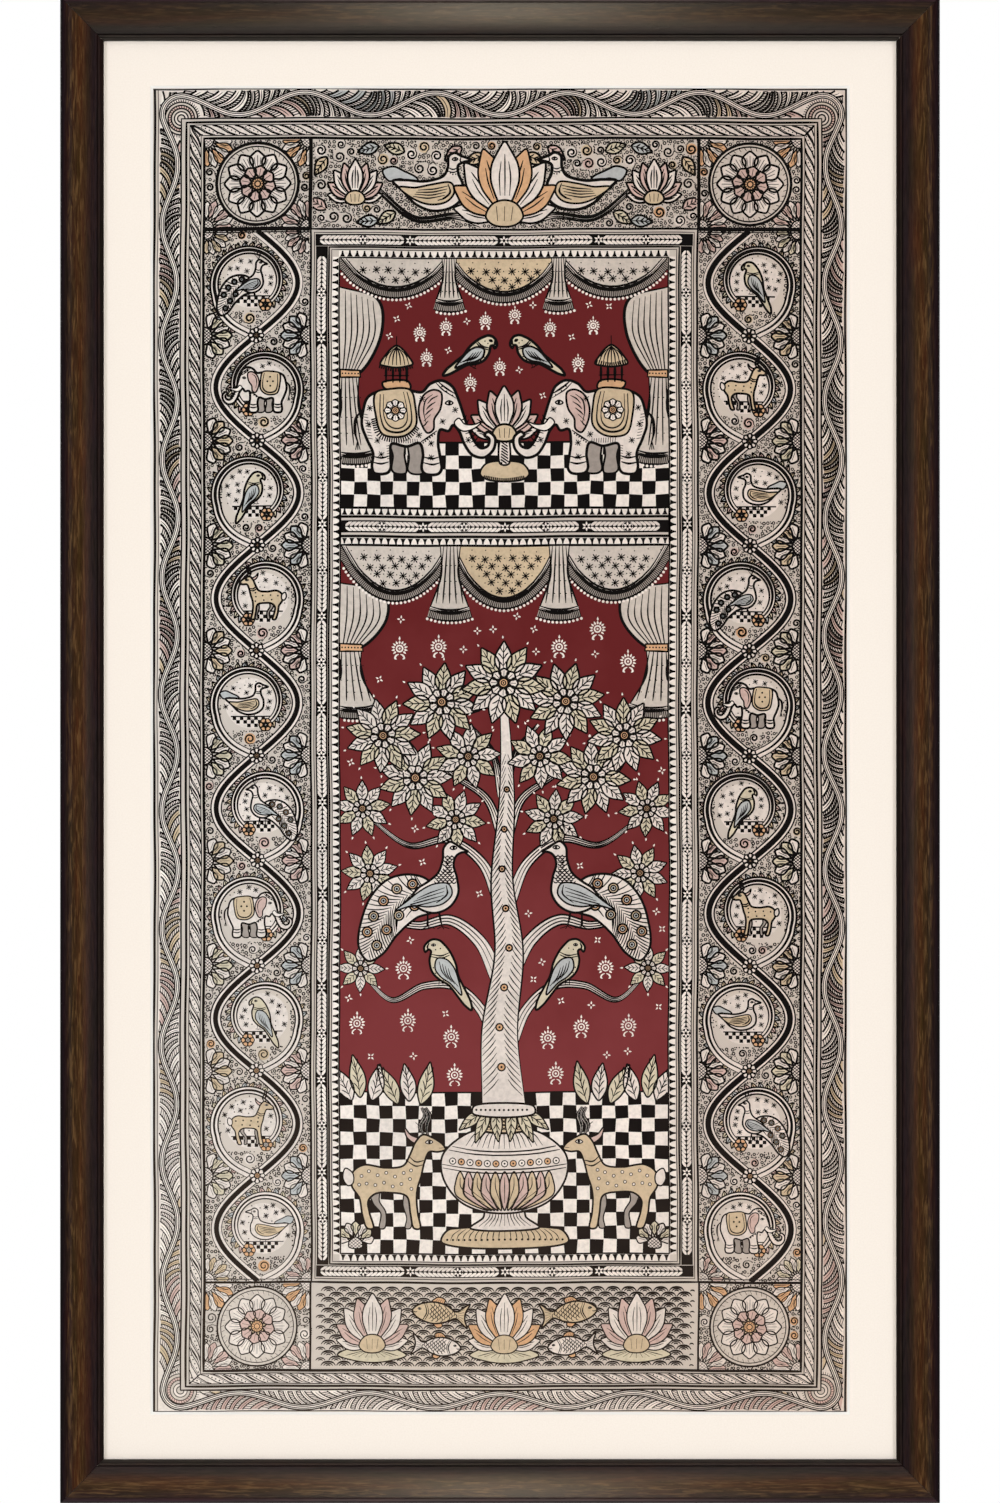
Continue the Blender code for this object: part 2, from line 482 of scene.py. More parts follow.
def stemLoop(outer, inner, waves):
    # the middle line of the stem: it sways along each side and swings out round every corner
    corners = box(*((outer[k] + inner[k]) / 2 for k in range(4)))
    thick, bend, loop = [abs(inner[k] - outer[k]) / 2 for k in (1, 2, 3, 0)], feather["bend"], []
    for side in range(4):
        put, long = along(corners[side], corners[(side + 1) % 4])
        arc = bend * pi / 4
        run, steps = long - 2 * bend + 2 * arc, waves[side % 2] * feather["steps"]
        for k in range(steps):
            s = run * k / steps
            if s < arc:
                a = pi / 4 + s / bend
                x, y, h = bend - bend * cos(a), bend - bend * sin(a), a - pi / 2
            elif s > run - arc:
                h = (s - run + arc) / bend
                x, y = long - bend + bend * sin(h), bend - bend * cos(h)
            else:
                x, y, h = bend + s - arc, 0, 0
            beyond = thick[side - 1 if s < run / 2 else (side + 1) % 4]
            half = thick[side] + (beyond - thick[side]) / 2 * max(0, 1 - min(s, run - s) / 40)
            swing = (half - 2.2) * cos(2 * pi * waves[side % 2] * s / run)
            loop += put([(x + swing * sin(h), y - swing * cos(h))])
    return loop + loop[:1]


def featherStroke(springs, k, side, outer, inner):
    # one edge of a feather, from the stem to where it lands on a side of the border
    x, y, h = springs[k]
    a, c = springs[k - 1], springs[(k + 1) % len(springs)]
    h = atan2(c[1] - a[1], c[0] - a[0]) + side * feather["lean"]
    swing = remainder(springs[(k + 2) % len(springs)][2] - springs[k - 2][2], 2 * pi)
    least, most = feather["curl"]
    curl = min(max(least, side * swing / (4 * feather["gap"]) + feather["ease"]), most)
    stroke = [(x, y)]
    for j in range(feather["longest"]):
        h += side * (curl + feather["tighten"] * j)
        x, y = x + cos(h), y + sin(h)
        if not (outer[0] + .5 < x < outer[2] - .5 and outer[1] + .5 < y < outer[3] - .5) or \
                (inner[0] - .5 < x < inner[2] + .5 and inner[1] - .5 < y < inner[3] + .5):
            return stroke if len(stroke) > 3 else None
        stroke.append((x, y))
    return None


def featherFill(last, stroke, tint, barbed, depth):
    # colour and a rib between two strokes, or barbs alone
    pairs = [(p, stroke[min(q + 1, len(stroke) - 1)]) for q, p in enumerate(last) if q > 2]
    if barbed:
        for p, q in pairs[1::2]:
            if 1.5 < dist(p, q) < 8:
                ruled([p, q], .55, depth - .1)
        return
    area(last + stroke[::-1], tint, depth - .2)
    middle = [between(p, q, .5) for p, q in pairs if dist(p, q) > 1.9]
    if len(middle) > 5:
        curve(middle, .45, depth - .1)


def featherBorder(outer, inner, waves, depth=1.0):
    # a swaying bundle of stems with feathers on both sides
    underlay(outer, inner, "pale", depth - .6)
    loop, stem = stemLoop(outer, inner, waves), feather["stem"]
    for away, width in ((-stem, "plain"), (-.7, "fine"), (.7, "fine"), (stem, "plain")):
        line(beside(loop, away)[:-1], width, depth + 1, closed=True)
    area(beside(loop, -stem) + beside(loop, stem)[::-1], "white", depth + 1)
    corners = box(*inner)
    for k, (u, v) in enumerate(corners):
        # arcs one inside the other round the inner corner, barred by turns
        for q, paint in enumerate(("cloth", "pink", "cloth", "pale", "cloth")):
            arc = around(u, v, 11.4 - 2.2 * q, [a / 24 * pi for a in range(12 * k + 12, 12 * k + 49)])
            area(arc + [(u, v)], paint, depth + .1 * q)
            ruled(arc, .8, depth + .1 * q)
            if q in (0, 2):
                strokes(arc, 1.5, 2, .45, depth + .1 * q + .05, -pi / 2 - .3)
    springs = spaced(loop, feather["gap"])
    for side in (-1, 1):
        last, flip = None, False
        for k, (u, v, _) in enumerate(springs):
            stroke = featherStroke(springs, k, side, outer, inner)
            if not stroke:
                last = None
                continue
            crowded = last and any(dist(p, q) < feather["crowded"] for p in stroke[5::2] for q in last[4:])
            if crowded or min(dist(p, c) for p in stroke for c in corners) < feather["clear"]:
                continue
            if last and dist(last[-1], stroke[-1]) > feather["apart"]:
                last = None
            ruled(stroke, 1.08, depth)
            flip = not flip
            if last:
                tone = sin(u / 31) + sin(v / 43 + side)
                tint = "pink" if tone > 1.2 else "ochre" if tone > .7 else "blue" if tone < -1.4 else "white"
                featherFill(last, stroke, tint, not flip, depth)
            last = stroke


def leafBand(outer, inner, depth=1.0):
    # long slanting leaves, dotted and striped by turns, mitred at the corners
    underlay(outer, inner, "pale", depth - .4)
    far, near = box(*outer), box(*inner)
    for side, wide in enumerate(abs(inner[k] - outer[k]) for k in (1, 2, 3, 0)):
        beyond = (side + 1) % 4
        patch = [far[side], far[beyond], near[beyond], near[side]]
        put, length = along(far[side], far[beyond])
        lean, up = 2.3 * wide, side % 2
        units = round(length / 15.5)
        pitch = length / units

        def slant(x):
            places = points("0,0 .3,.22 .5,.5 .7,.78 1,1")
            return smooth([(x + lean * q, wide * (1 - s if up else s)) for q, s in places])

        for k in range(-2, units + 1):
            x = k * pitch
            for away, width in ((0, .8), (1.8, .45), (pitch * .55, .8)):
                for run in cut(put(slant(x + away)), patch, .4):
                    ruled(run, width, depth)
            low, high = slant(x + pitch * .68), slant(x + pitch * .68 + 2.4)
            n = len(low)
            fat = [(between(low[q], high[q], sin(pi * q / (n - 1)))[0], low[q][1]) for q in range(n)]
            path = put(low + fat[::-1])
            if all(within(patch, *p) for p in path[3:-3]):
                area(path, "ink", depth)
            x += pitch * .34
            beads = put([(x + lean * q, wide * (1 - q if up else q)) for q in (.16, .33, .5, .67, .84)])
            pearls([p for p in beads if within(patch, *p)], .5, depth)
        ruled([far[side], near[side]], "plain", depth)


wheat = {"core": .42, "knots": 62, "pitch": 3.1, "grain": 5.2}


def wheatBand(start, end, wide, depth=1.0):
    # two files of plump pale leaves on a dark ground, like an ear of wheat, with a flower now and then
    put, length = along(start, end)
    core, pitch, long = wide * wheat["core"], wheat["pitch"], wheat["grain"]
    area(put(box(0, -wide / 2, length, wide / 2)), "cloth", depth - .4)
    area(put(box(0, -core, length, core)), "ink", depth - .3)
    knots = max(1, round(length / wheat["knots"]))
    span, x = length / knots, 1.0
    while x < length - 5:
        near = (x % span) - span / 2
        if abs(near) < 3.4 or abs(near) > span / 2 - 2.6:
            x += pitch * .35
            continue
        for side in (-1, 1):
            tip = [(long - .6, core * .8), (long, core), (long - 1.8, core * .97)]
            grain = [(0, .35), (1.6, .5), *tip, (.2, 1.5)]
            path = [(x + (a if near < 0 else -a), side * b) for a, b in grain]
            area(smooth(put(path), True), "white" if side > 0 else "pale", depth - .2)
        x += pitch
    for side in (-core, core):
        ruled(put([(0, side), (length, side)]), "fine", depth)
    for k in range(2 * knots - 1):
        u, v = put([(span * (k + 1) / 2, 0)])[0]
        stamp("pearl", u, v, 3.3, 0, depth - .1)
        drops(u, v, 1.9, .95, [j * pi / 3 + .5 for j in range(6)], depth + .1)
        stamp("pearl", u, v, .6, 0, depth + .2)


def pointRow(start, end, depth=1.0, height=4.4, pitch=5.1):
    # black teeth on a pale strip; they point to the right of the way along
    put, length = along(start, end)
    turn = atan2(end[1] - start[1], end[0] - start[0])
    area(put(box(0, 0, length, height)), "white", depth - .4)
    count = round(length / pitch)
    for u, v in put([((k + .5) * length / count, height - .1) for k in range(count)]):
        stamp("point", u, v, height * .42 * dice.uniform(.92, 1.05), turn + dice.uniform(-.06, .06), depth)


def checkFloor(l, t, r, b, cell, depth=1.0):
    # chequers drawn by hand, a little off square inside the floor
    area(box(l, t, r, b), "white", depth)
    cols, rows = round((r - l) / cell), round((b - t) / cell)
    w, h = (r - l) / cols, (b - t) / rows
    for i in range(cols):
        for j in range(i % 2, rows, 2):
            slips = [dice.uniform(-.45, .45) for _ in range(4)]
            x, y = l + i * w, t + j * h
            west, north, east, south = i > 0, j > 0, i < cols - 1, j < rows - 1
            off = [(slips[0] * west, slips[1] * north), (-slips[1] * east, slips[2] * north),
                   (slips[3] * east, slips[0] * south), (-slips[2] * west, -slips[3] * south)]
            square = [(u + du, v + dv) for (u, v), (du, dv) in zip(box(x, y, x + w, y + h), off)]
            area(square, "black", depth + .2)


def framing(l, t, r, b, depth=1.0):
    # rules, ears of wheat and a row of teeth round a panel; returns the panel inside it
    def inset(by):
        return l + by, t + by, r - by, b - by

    rule(*inset(0), 1.8, depth + 1)
    rule(*inset(2.4), .7, depth + 1)
    o = 7.6                                                      # from the edge to the middle of an ear
    for start, end in (((l + 3.2, t + o), (r - 3.2, t + o)), ((l + 3.2, b - o), (r - 3.2, b - o)),
                       ((l + o, b - 12), (l + o, t + 12)), ((r - o, t + 12), (r - o, b - 12))):
        wheatBand(start, end, 8.6, depth)
    rule(*inset(12.6), 1.4, depth + 1)
    rule(*inset(14.4), .6, depth + 1)
    corners = box(*inset(15))
    for side in range(4):
        put, length = along(corners[side], corners[(side + 1) % 4])
        pointRow(*put([(4.4, 0), (length - 4.4, 0)]), depth)
    rule(*inset(20), 1.3, depth + 1)
    return inset(20.5)


featherBorder((4.0, .8, 481.2, 920.2), (19.2, 20.6, 465.2, 905.8), (5, 11))
for x, wide in ((1.0, 2.1), (3.3, .6), (482.2, 1.8)):
    ruled([(x, 0), (x, 921)], wide)
for y in (.5, 920.5):
    ruled([(0, y), (483, y)], .7)
rule(19.3, 20.8, 465.1, 905.7, 1.4, 2)
rule(22.9, 23.5, 462.2, 903.2, 1.9, 2)
rule(25.4, 25.4, 460.0, 901.4, .8, 2)
leafBand((25.6, 25.6, 459.8, 901.2), (33.0, 32.6, 453.4, 894.6))
rule(33.2, 32.8, 453.2, 894.4, .9, 2)
rule(35.4, 34.9, 450.9, 892.4, 2.2, 2)
inner = framing(110, 98, 379, 831)


# creatures and plants, each about 100 across and facing right

def lotus(put, depth=1.0, paint="pale", tint="pink"):
    # a lotus seen from the side, growing up from the origin
    petals = ((1.36, 25, 10), (1.0, 29, 12), (.62, 33, 13), (.3, 35, 13), (0, 37, 14))
    for k, (turn, long, wide) in enumerate(petals):
        for side in (-1, 1) if turn else (1,):
            own = placing(0, 0, 1, side * turn - pi / 2)
            shape(put(own(leafOutline(long, wide, tip=1.25))), tint if k % 2 else paint, depth)
            for y in (-.16, 0, .16):
                rib = [(.3, y), (.55, y * 1.2), (.84 - abs(y) * .6, y * .8)]
                curve(put(own([(long * a, wide * b) for a, b in rib])), "fine", depth)
            depth += .1
    draw(put, depth, """
        ochre plain 0 -9,-1 -6,-7 0,-9 6,-7 9,-1 5,3 -5,3
        bar fine 0 -3.2,1 -4,-6 by 3 3.2,0 4,0""")


def eye(put, x, y, size=1.0, depth=1.0):
    lids = [(x - 3 * size, y + .3 * size), (x, y - 1.7 * size), (x + 3 * size, y), (x, y + 1.5 * size)]
    shape(put(lids), "white", depth, "fine")
    pupil, rim = put([(x + .2 * size, y - .1 * size), (x + 1.35 * size, y - .1 * size)])
    pearls([pupil], dist(pupil, rim), depth + .1)


def scales(path, put, xs, ys, size, depth=1.0):
    # rows of scale arcs inside a shape; xs and ys span them in the creature's own measure
    row, y = 0, ys[0]
    while y < ys[1]:
        x = xs[0] + (size / 2 if row % 2 else 0)
        while x < xs[1]:
            arc = put(around(x, y, size * .5, (-1.5, -.75, 0, .75, 1.5)))
            if all(within(path, *p) for p in arc):
                curve(arc, "fine", depth)
            x += size
        y += size * .5
        row += 1


def elephant(put, depth=1.0, rich=False):
    draw(put, depth, """
        grey plain 0 -3,12 -2,30 -3,40 0,43 9,43 11,40 10,20
        grey plain 0 -19,14 -16,28 -17,40 -14,43 -5,43 -4,39 -6,28 -6,14
        line firm 0 -41,-12 -47,-4 -48,8 -46,16
        bar plain 0 -46,15 -48,23 by 3 0,0 2,0
        pale firm .3 -41,-10 -36,-23 -19,-29 0,-28 10,-27 17,-34 27,-37 36,-32 41,-21 45,-8 50,6 55,16 60,21
          66,19 67,13 63,10 66,7 72,12 71,22 63,29 53,27 46,18 41,6 36,1 32,6 25,5 23,16 25,30 26,39 23,43
          12,43 9,39 10,26 7,17 -4,20 -17,18 -18,28 -18,39 -21,43 -32,43 -34,38 -33,26 -38,14 -42,2""")
    for k in range(7):                                           # rings of the trunk
        x, y = 44 + 2 * k, -6 + 22 / 6 * k
        curve(put([(x - 4.2 + .25 * k, y + 3.4), (x + 1.5, y + 1.6), (x + 3.6, y - 1.6)]), "fine", depth + .3)
    draw(put, depth, """
        ochre plain .5 -30,-26 -18,-29.5 0,-28.5 4,-14 4,2 -4,10 -14,12 -25,9 -30,-6
        line plain .5 -26,-25 -26,-6 -22,5 -13,8 -5,6 0,0 0,-14 -3,-27""")
    if rich:
        draw(put, depth, "line fine .5 -23,-25 -23,-6 -19,2 -13,4.6 -7,3 -3.5,-2 -3.5,-14 -6,-27")
        lightly(.6, rosette, *put([(-13.2, -11)])[0], 7.6, 8, depth + .6, "white", "orange", 1)
        strokes(smooth(put(points("-30,-4 -26,9 -14,12.6 -4,10.4 4,2"))), 1.5, 3.4, "fine", depth + .4)
    else:
        draw(put, depth, "dots .7 .5 -13,-20 -18,-12 -8,-12 -13,-4")
    draw(put, depth, """
        pink plain .6 20,-29 12,-25 7,-14 8,-2 14,8 19,5 20,-4 25,-12 27,-22 26,-27
        line fine .6 19,-25 13,-20 11,-10 13,0""")
    if rich:                                                     # sprigs on the hide, shading below
        draw(put, depth, "line fine .6 23.5,-24 18,-21 14.5,-17 by 5 -2.2,5.4 -1.6,5.6 -1.2,5")
        for p in put(points("-35,-13 -36,1 -29,15 -26,27 10,-21 6.5,10 17,17 17,29 27,-2 38,-12 49,14")):
            starSprig(*p, 2.4, depth + .6)
        draw(put, depth, """
            bar fine .5 -15,12.5 -14.6,17.2 by 11 2,.1 2,0
            bar fine .5 -41,-8 -37,-7.2 by 9 .5,2.6 .5,2.6
            bar fine .5 -17.5,19 -21.5,19.8 by 6 .1,2.2 .1,2.2""")
    draw(put, depth, """
        eye 1.1 .6 33,-18
        white fine .7 37,-1 44,6 54,4 61,-2 54,.5 46,0 41,-5
        line plain .6 24,-36 30,-31 38,-26
        line fine .6 22,-35 28,-29 39,-22
        dots .6 .6 27,-32 31,-28 36,-24.5
        line plain .5 10,33.4 18.3,35 24.6,33.4
        line plain .5 9.6,28.4 17.8,30 24,28.4
        line plain .5 -34.6,33.4 -26.1,35 -19.6,33.4
        line plain .5 -34,28.4 -25.7,30 -19.4,28.4
        line plain .6 22,6 14,12 8,16""")
    pearls(spaced(put(points("20,9 13,14.5 8,18")), 2), .6, depth + .6)


def peacock(put, depth=1.0, rich=False):
    path = draw(put, depth, """
        pale firm 0 -2,-8 -18,-14 -36,-10 -50,4 -58,24 -60,46 -52,58 -40,52 -28,36 -12,22 2,16""")
    spine = smooth(points("0,4 -16,2 -32,12 -44,30 -52,50"))
    for side in (-1, 1):
        for x, y, h in spaced(spine, 3.4 if rich else 5.4):
            reach, turn = [(x, y)], h + side * .5
            for j in range(9):
                turn += side * .07
                reach += around(*reach[-1], 3.2, [turn])
            for run in cut(put(smooth(reach)), path)[:1]:
                line(run, "fine", depth + .1)
    spots = put(points("-16,-6 -29,-2 -40,8 -48,21 -14,12 -27,20 -37,32 -45,45 -53,34"))
    for k, (u, v) in enumerate(spots if rich else spots[:4] + spots[5:8]):
        r = 3.4 if rich else 1.9
        ring(u, v, r, depth + .2, "plain", "ochre" if k % 2 else "orange")
        ring(u, v, r * .55, depth + .3, "fine", "blue")
        stamp("pearl", u, v, r * .26, 0, depth + .35)
    draw(put, depth, """
        line firm .3 6,14 7.2,22 9,29
        bar plain .3 9,29 5,31.1
        bar plain .3 9,29 10.5,31.35
        bar plain .3 9,29 15,30.9
        line firm .3 -3,14 -3,22 -3,29
        bar plain .3 -3,29 -7,31.1
        bar plain .3 -3,29 -1.5,31.35
        bar plain .3 -3,29 3,30.9""")
    body = draw(put, depth, """
        pale firm .4 15,-41 20,-39 24,-36 30,-33 24,-32 20,-29 18,-22 21,-11 22,2 15,13 3,18 -9,15 -17,7
          -12,-2 -3,-8 5,-15 9,-26 10,-36""")
    for k in range(3):                                           # the crest
        tip = (12 - 5 * (k - 1), -54 + 2.4 * abs(k - 1))
        curve(put([(14, -41), ((14 + tip[0]) / 2 + .6 * (1 - k), -47), tip]), "fine", depth + .4)
        stamp("drop", *put([tip])[0], 1.3 if rich else .8, 0, depth + .4)
    draw(put, depth, "eye .95 .6 18,-36")
    if rich:
        scales(body, lambda p: put([(y, x) for x, y in p]), (-30, -8), (4, 24), 3.6, depth + .5)
        draw(put, depth, "line fine .55 9.4,-26 13,-23.6 18.4,-24 by 3 -.4,4 0,4 .3,4")
    else:
        draw(put, depth, "line fine .5 9.4,-24 13,-22 18,-23\nline fine .5 8,-20 13,-18 18.6,-19")
    draw(put, depth, """
        blue plain .6 14,-6 17,2 10,10 -2,13 -16,12 -30,16 -20,8 -10,0 2,-6
        line fine .6 11,-3 -2,1.5 -12,6 by 4 -.5,3.2 -2,3.2 -3,2.6
        line plain .6 12,-5 13,2 8,7 4,9.6""")


def parrot(put, depth=1.0, rich=False):
    draw(put, depth, """
        lemon firm 0 4,-36 12,-38 19,-35 24,-29 23,-23 19,-26 16,-24 19,-12 17,2 9,12 -2,20 -11,33 -20,47
          -28,54 -28,44 -21,25 -15,10 -13,-6 -7,-22 -1,-31
        line plain 0 17,-34 20,-29 19,-26
        line plain 0 -6.5,-20 4,-17 16.6,-20 by 2 0,3 0,3 0,3
        eye .9 .1 12,-31
        blue plain .2 9,-14 13,-2 7,9 -4,18 -17,34 -15,16 -10,-2 -2,-12
        line fine .2 7,-10 5,2 -2,13 by 4 -3.4,3 -3.6,3 -4,3.4
        line plain 0 4,12 5,19
        bar plain 0 2,20 8,19
        line plain 0 9,12 10,19
        bar plain 0 7,20 13,19""")
    if rich:
        draw(put, depth, "dots .5 0 12,-10 15,-3 13,4 4,-26 10,-25")


def deer(put, depth=1.0, rich=False):
    draw(put, depth, """
        grey plain 0 10,6 7,18 10,30 9,38 13,38 14,30 13,18 16,8
        grey plain 0 -20,6 -17,18 -11,26 -12,38 -8,38 -7,25 -12,16 -12,6""")
    for side in (0, 1):
        x = 25 + 3 * side
        horn = put([(x, -37), (x - 3 + 2 * side, -45), (x + 1, -53), (x - 2, -60)])
        curve(horn, "firm", depth + .2)
        for branch in ([(x - 2.4 + 2 * side, -44), (x - 7, -48)], [(x + .8, -52), (x + 6, -57)]):
            curve(put(branch), "plain", depth + .2)
        if rich:
            curve(horn, 4.2, depth + .1)
            curve(horn, 2.2, depth + .2, "pale")
    draw(put, depth, """
        pink plain .2 22,-34 14,-38 9,-44 11,-36 18,-31
        ochre firm .3 -33,-7 -24,-13 -6,-11 8,-13 14,-23 18,-32 24,-38 31,-36 40,-30 42,-26 36,-24 29,-24
          25,-16 22,-4 19,5 18,14 19,26 21,38 16,38 13,26 10,12 -4,9 -15,10 -21,16 -20,26 -17,38 -22,38
          -26,27 -28,14 -34,4
        pale plain .35 -33,-6 -39,-10 -41,-2 -37,4 -33,2
        eye 1 .5 29,-32
        line fine .4 37,-27 41,-27.4
        line plain .4 12,-21 18,-16 24.6,-17
        line plain .4 9.9,-17.5 18,-12.5 23.55,-13.5""")
    spots = put(points("-26,-4 -20,-8 -13,-5 -6,-7 1,-4 8,-7 14,-9 "
                       "-22,2 -15,3 -8,1 -1,4 6,2 13,-2 -28,3 14,6"))
    for p in spots if rich else spots[::2]:
        pearls([p], 1.3 if rich else .6, depth + .4)
        if rich:
            pearls([p], .75, depth + .45, "white")


def fish(put, depth=1.0, paint="pale"):
    path = draw(put, depth, f"""
        orange plain 0 14,-15 4,-25 -8,-22 -4,-13
        orange plain 0 8,14 0,23 -8,20 -4,12
        {paint} firm .1 42,0 36,-8 24,-14 6,-17 -12,-13 -28,-5 -36,-10 -48,-19 -43,-6 -42,0 -43,8 -48,20
          -36,11 -28,6 -12,13 6,17 24,14 36,8
        line plain .2 24,-13 19,0 24,13
        line fine .2 21,-13.6 16,0 21,13.6
        eye .9 .3 31,-4
        line fine .3 42,0 37,2 34,1""")
    scales(path, lambda p: put([(-x, y) for x, y in p]), (-15, 27), (-16, 17), 7.4, depth + .2)
    for k in range(5):
        line(put([(-31, -4 + 2 * k), (-40, -10 + 5 * k)]), "fine", depth + .2)
        line(put([(8 - 4 * k, -16), (4 - 3 * k, -22)]), "fine", depth + .05)


def goose(put, depth=1.0, rich=False):
    draw(put, depth, """
        line firm 0 -4,16 -3,28
        bar plain 0 -7,29 3,28
        line firm 0 6,16 7,28
        bar plain 0 3,29 13,28
        blue plain 0 -22,-2 -36,-10 -48,-8 -54,-18 -44,-22 -34,-18 -20,-10
        pale firm .2 10,-33 16,-36 22,-33 32,-29 24,-27 19,-24 19,-16 23,-6 22,8 12,17 -6,20 -22,14 -34,2
          -44,-8 -30,-9 -16,-8 -4,-10 5,-14 9,-22
        eye .9 .4 16,-30
        line fine .3 22,-33 21,-28 24,-27
        line fine .3 9,-22 14,-20 19,-22
        line fine .3 8.1,-19 14,-17 19,-19
        ochre plain .4 12,-7 15,2 8,11 -8,14 -24,9 -38,-2 -22,-2 -8,-5
        line fine .4 9,-4 -4,-1 -20,.4 by 4 -1,3 -2,3 -1.6,2
        line plain .4 9,-6 11,2 5,8 -1,10""")
    if rich:
        pearls(spaced(put(points("9,-18 14,-15 20,-16")), 2), .55, depth + .4)


# drapery

def sprigGround(path, gap, depth, clear):
    # star sprigs and dots scattered inside a shape
    us, vs = [p[0] for p in path], [p[1] for p in path]
    row, v = 0, min(vs) + 3
    while v < max(vs):
        u = min(us) + (gap / 2 if row % 2 else 0) + 2
        while u < max(us):
            a, b = u + dice.uniform(-.8, .8), v + dice.uniform(-.8, .8)
            if all(within(path, *p) for p in around(a, b, clear, range(6))):
                starSprig(a, b, 3.0, depth)
            if all(within(path, a + gap / 2 + off, b) for off in (0, 1.5, -1.5)):
                stamp("pearl", a + gap / 2, b, .45, 0, depth)
            u += gap
        v += gap * .62
        row += 1


def hem(low, depth=1.0, long=5.2):
    # the trimmed lower edge of a drape: two rules, a fringe and pearls
    out = beside(low, -long)
    area(low + out[::-1], "grey", depth)
    strokes(low, 1.25, long, .5, depth, -pi / 2)
    line(out, "plain", depth)
    area(low + beside(low, 2.2)[::-1], "pale", depth + .05)
    for away, width in ((0, "firm"), (1.1, "fine"), (2.4, "plain")):
        line(beside(low, away), width, depth + .05)
    pearls(spaced(beside(low, -long - 1.3), 2.9), .95, depth + .05, "white")


def swag(x0, x1, y, drop, depth, paint):
    half = (x1 - x0) / 2
    places = [(0, 0), (.3, .56), (.66, .9), (1, 1), (1.34, .9), (1.7, .56), (2, 0)]
    low = smooth([(x0 + half * q, y + drop * s) for q, s in places])[::-1]
    path = low + [(x0, y)]
    area(path, paint, depth)
    hem(low, depth + .1)
    sprigGround(path, 9.0, depth + .02, 4.4)


def pendant(x, y, top, foot, long, depth=1.0, lean=0.0):
    # a gathered end of cloth that hangs and flares
    left, right = (smooth([(x + side * top, y), (x + side * top * .86 + lean * .3, y + long * .45),
                           (x + side * foot + lean, y + long)]) for side in (-1, 1))
    low = smooth(placing(x + lean, y + long, foot)([(1, 0), (.4, .16), (-.4, .16), (-1, 0)]))
    area(left + low[::-1] + right[::-1], "cloth", depth)
    line(left, "plain", depth)
    line(right, "plain", depth)
    hem(low, depth + .1)
    for k in range(1, 6):
        t = k / 6
        a, b = (x - top + 2 * top * t, y), (x - foot + lean + 2 * foot * t, y + long * .9)
        curve([a, (a[0] * .6 + b[0] * .4, y + long * .45), b], "fine", depth + .01)
        pearls([(a[0] + (b[0] - a[0]) * q + .9, y + long * q) for q in (.3, .55, .75)], .4, depth + .01)


def drape(x, y0, y1, wide, side, depth=1.0):
    # a curtain tied back against the side of a panel; side points into the panel
    high, reach = (y1 - y0) * .52, side * wide
    tie, put = y0 + high, lambda places: [(x + reach * q, y0 + high * s) for q, s in places]
    puff = smooth(put(points("0,0 .9,.15 .95,.55 .42,1 0,1")))
    area(puff + [(x, y0)], "cloth", depth)
    line(puff, "firm", depth)
    for k in range(1, 7):
        t = k / 7
        curve(put([(.9 * t, .02 + .16 * t), (.93 * t, .55), (.4 * t, 1)]), "fine", depth + .01)
    pendant(x + reach * .2, tie, wide * .24, wide * .5, y1 - tie, depth + .02, reach * .1)
    band = [(x, tie - 2.6), (x + reach * .45, tie - 2.2), (x + reach * .47, tie + 2.4), (x, tie + 2.8)]
    area(band, "orange", depth + .3)
    line(band, "plain", depth + .3, closed=True)
    pearls(spaced([(x + side * 1.5, tie), (x + reach * .45, tie)], 2.2), .6, depth + .31)


# the panels

def pavilion(put, depth):
    # a small canopied seat on an elephant's back
    draw(put, depth, """
        orange plain 0 -22,-30 -24,-35 -2,-36 0,-30
        bar firm 0 -21,-35 -21,-52 by 4 6,0 6,0
        ochre plain .05 -26,-51 -22,-58 -17,-64 -12,-67 -7,-64 -2,-58 2,-51 -4,-49 -12,-48 -20,-49
        line fine .05 -22.8,-50 -19.8,-59 -12,-66 by 7 3.6,0 2.6,0 0,0
        bar plain 0 -12,-67 -12,-75""")
    strokes(smooth(put(points("-26,-51 -12,-48 2,-51"))), 1.6, 3, "fine", depth + .04)
    draw(put, depth, "bar fine 0 -23,-41 -1,-41")


def backdrop(l, t, r, b, floor, cell):
    # a dark wall over a chequered floor
    area(box(l, t, r, floor), "maroon")
    checkFloor(l, floor, r, b, cell, 1.1)
    ruled([(l, floor), (r, floor)], "plain", 1.35)


def curtains(l, t, r, high, low, wide, drops, gathers, lift):
    # curtains down the sides and swags along the top, with a gathered end between each two
    w = (r - l) / 3
    for side, x in ((-1, l), (1, r)):
        drape(x, t + high, low, wide, -side, 1.4)
    for k in (0, 2, 1):
        swag(l + k * w + .4, l + (k + 1) * w - .4, t, drops[k == 1], 1.9, "ochre" if k == 1 else "cloth")
    for k in (1, 2):
        pendant(l + k * w, t, *gathers, lift)


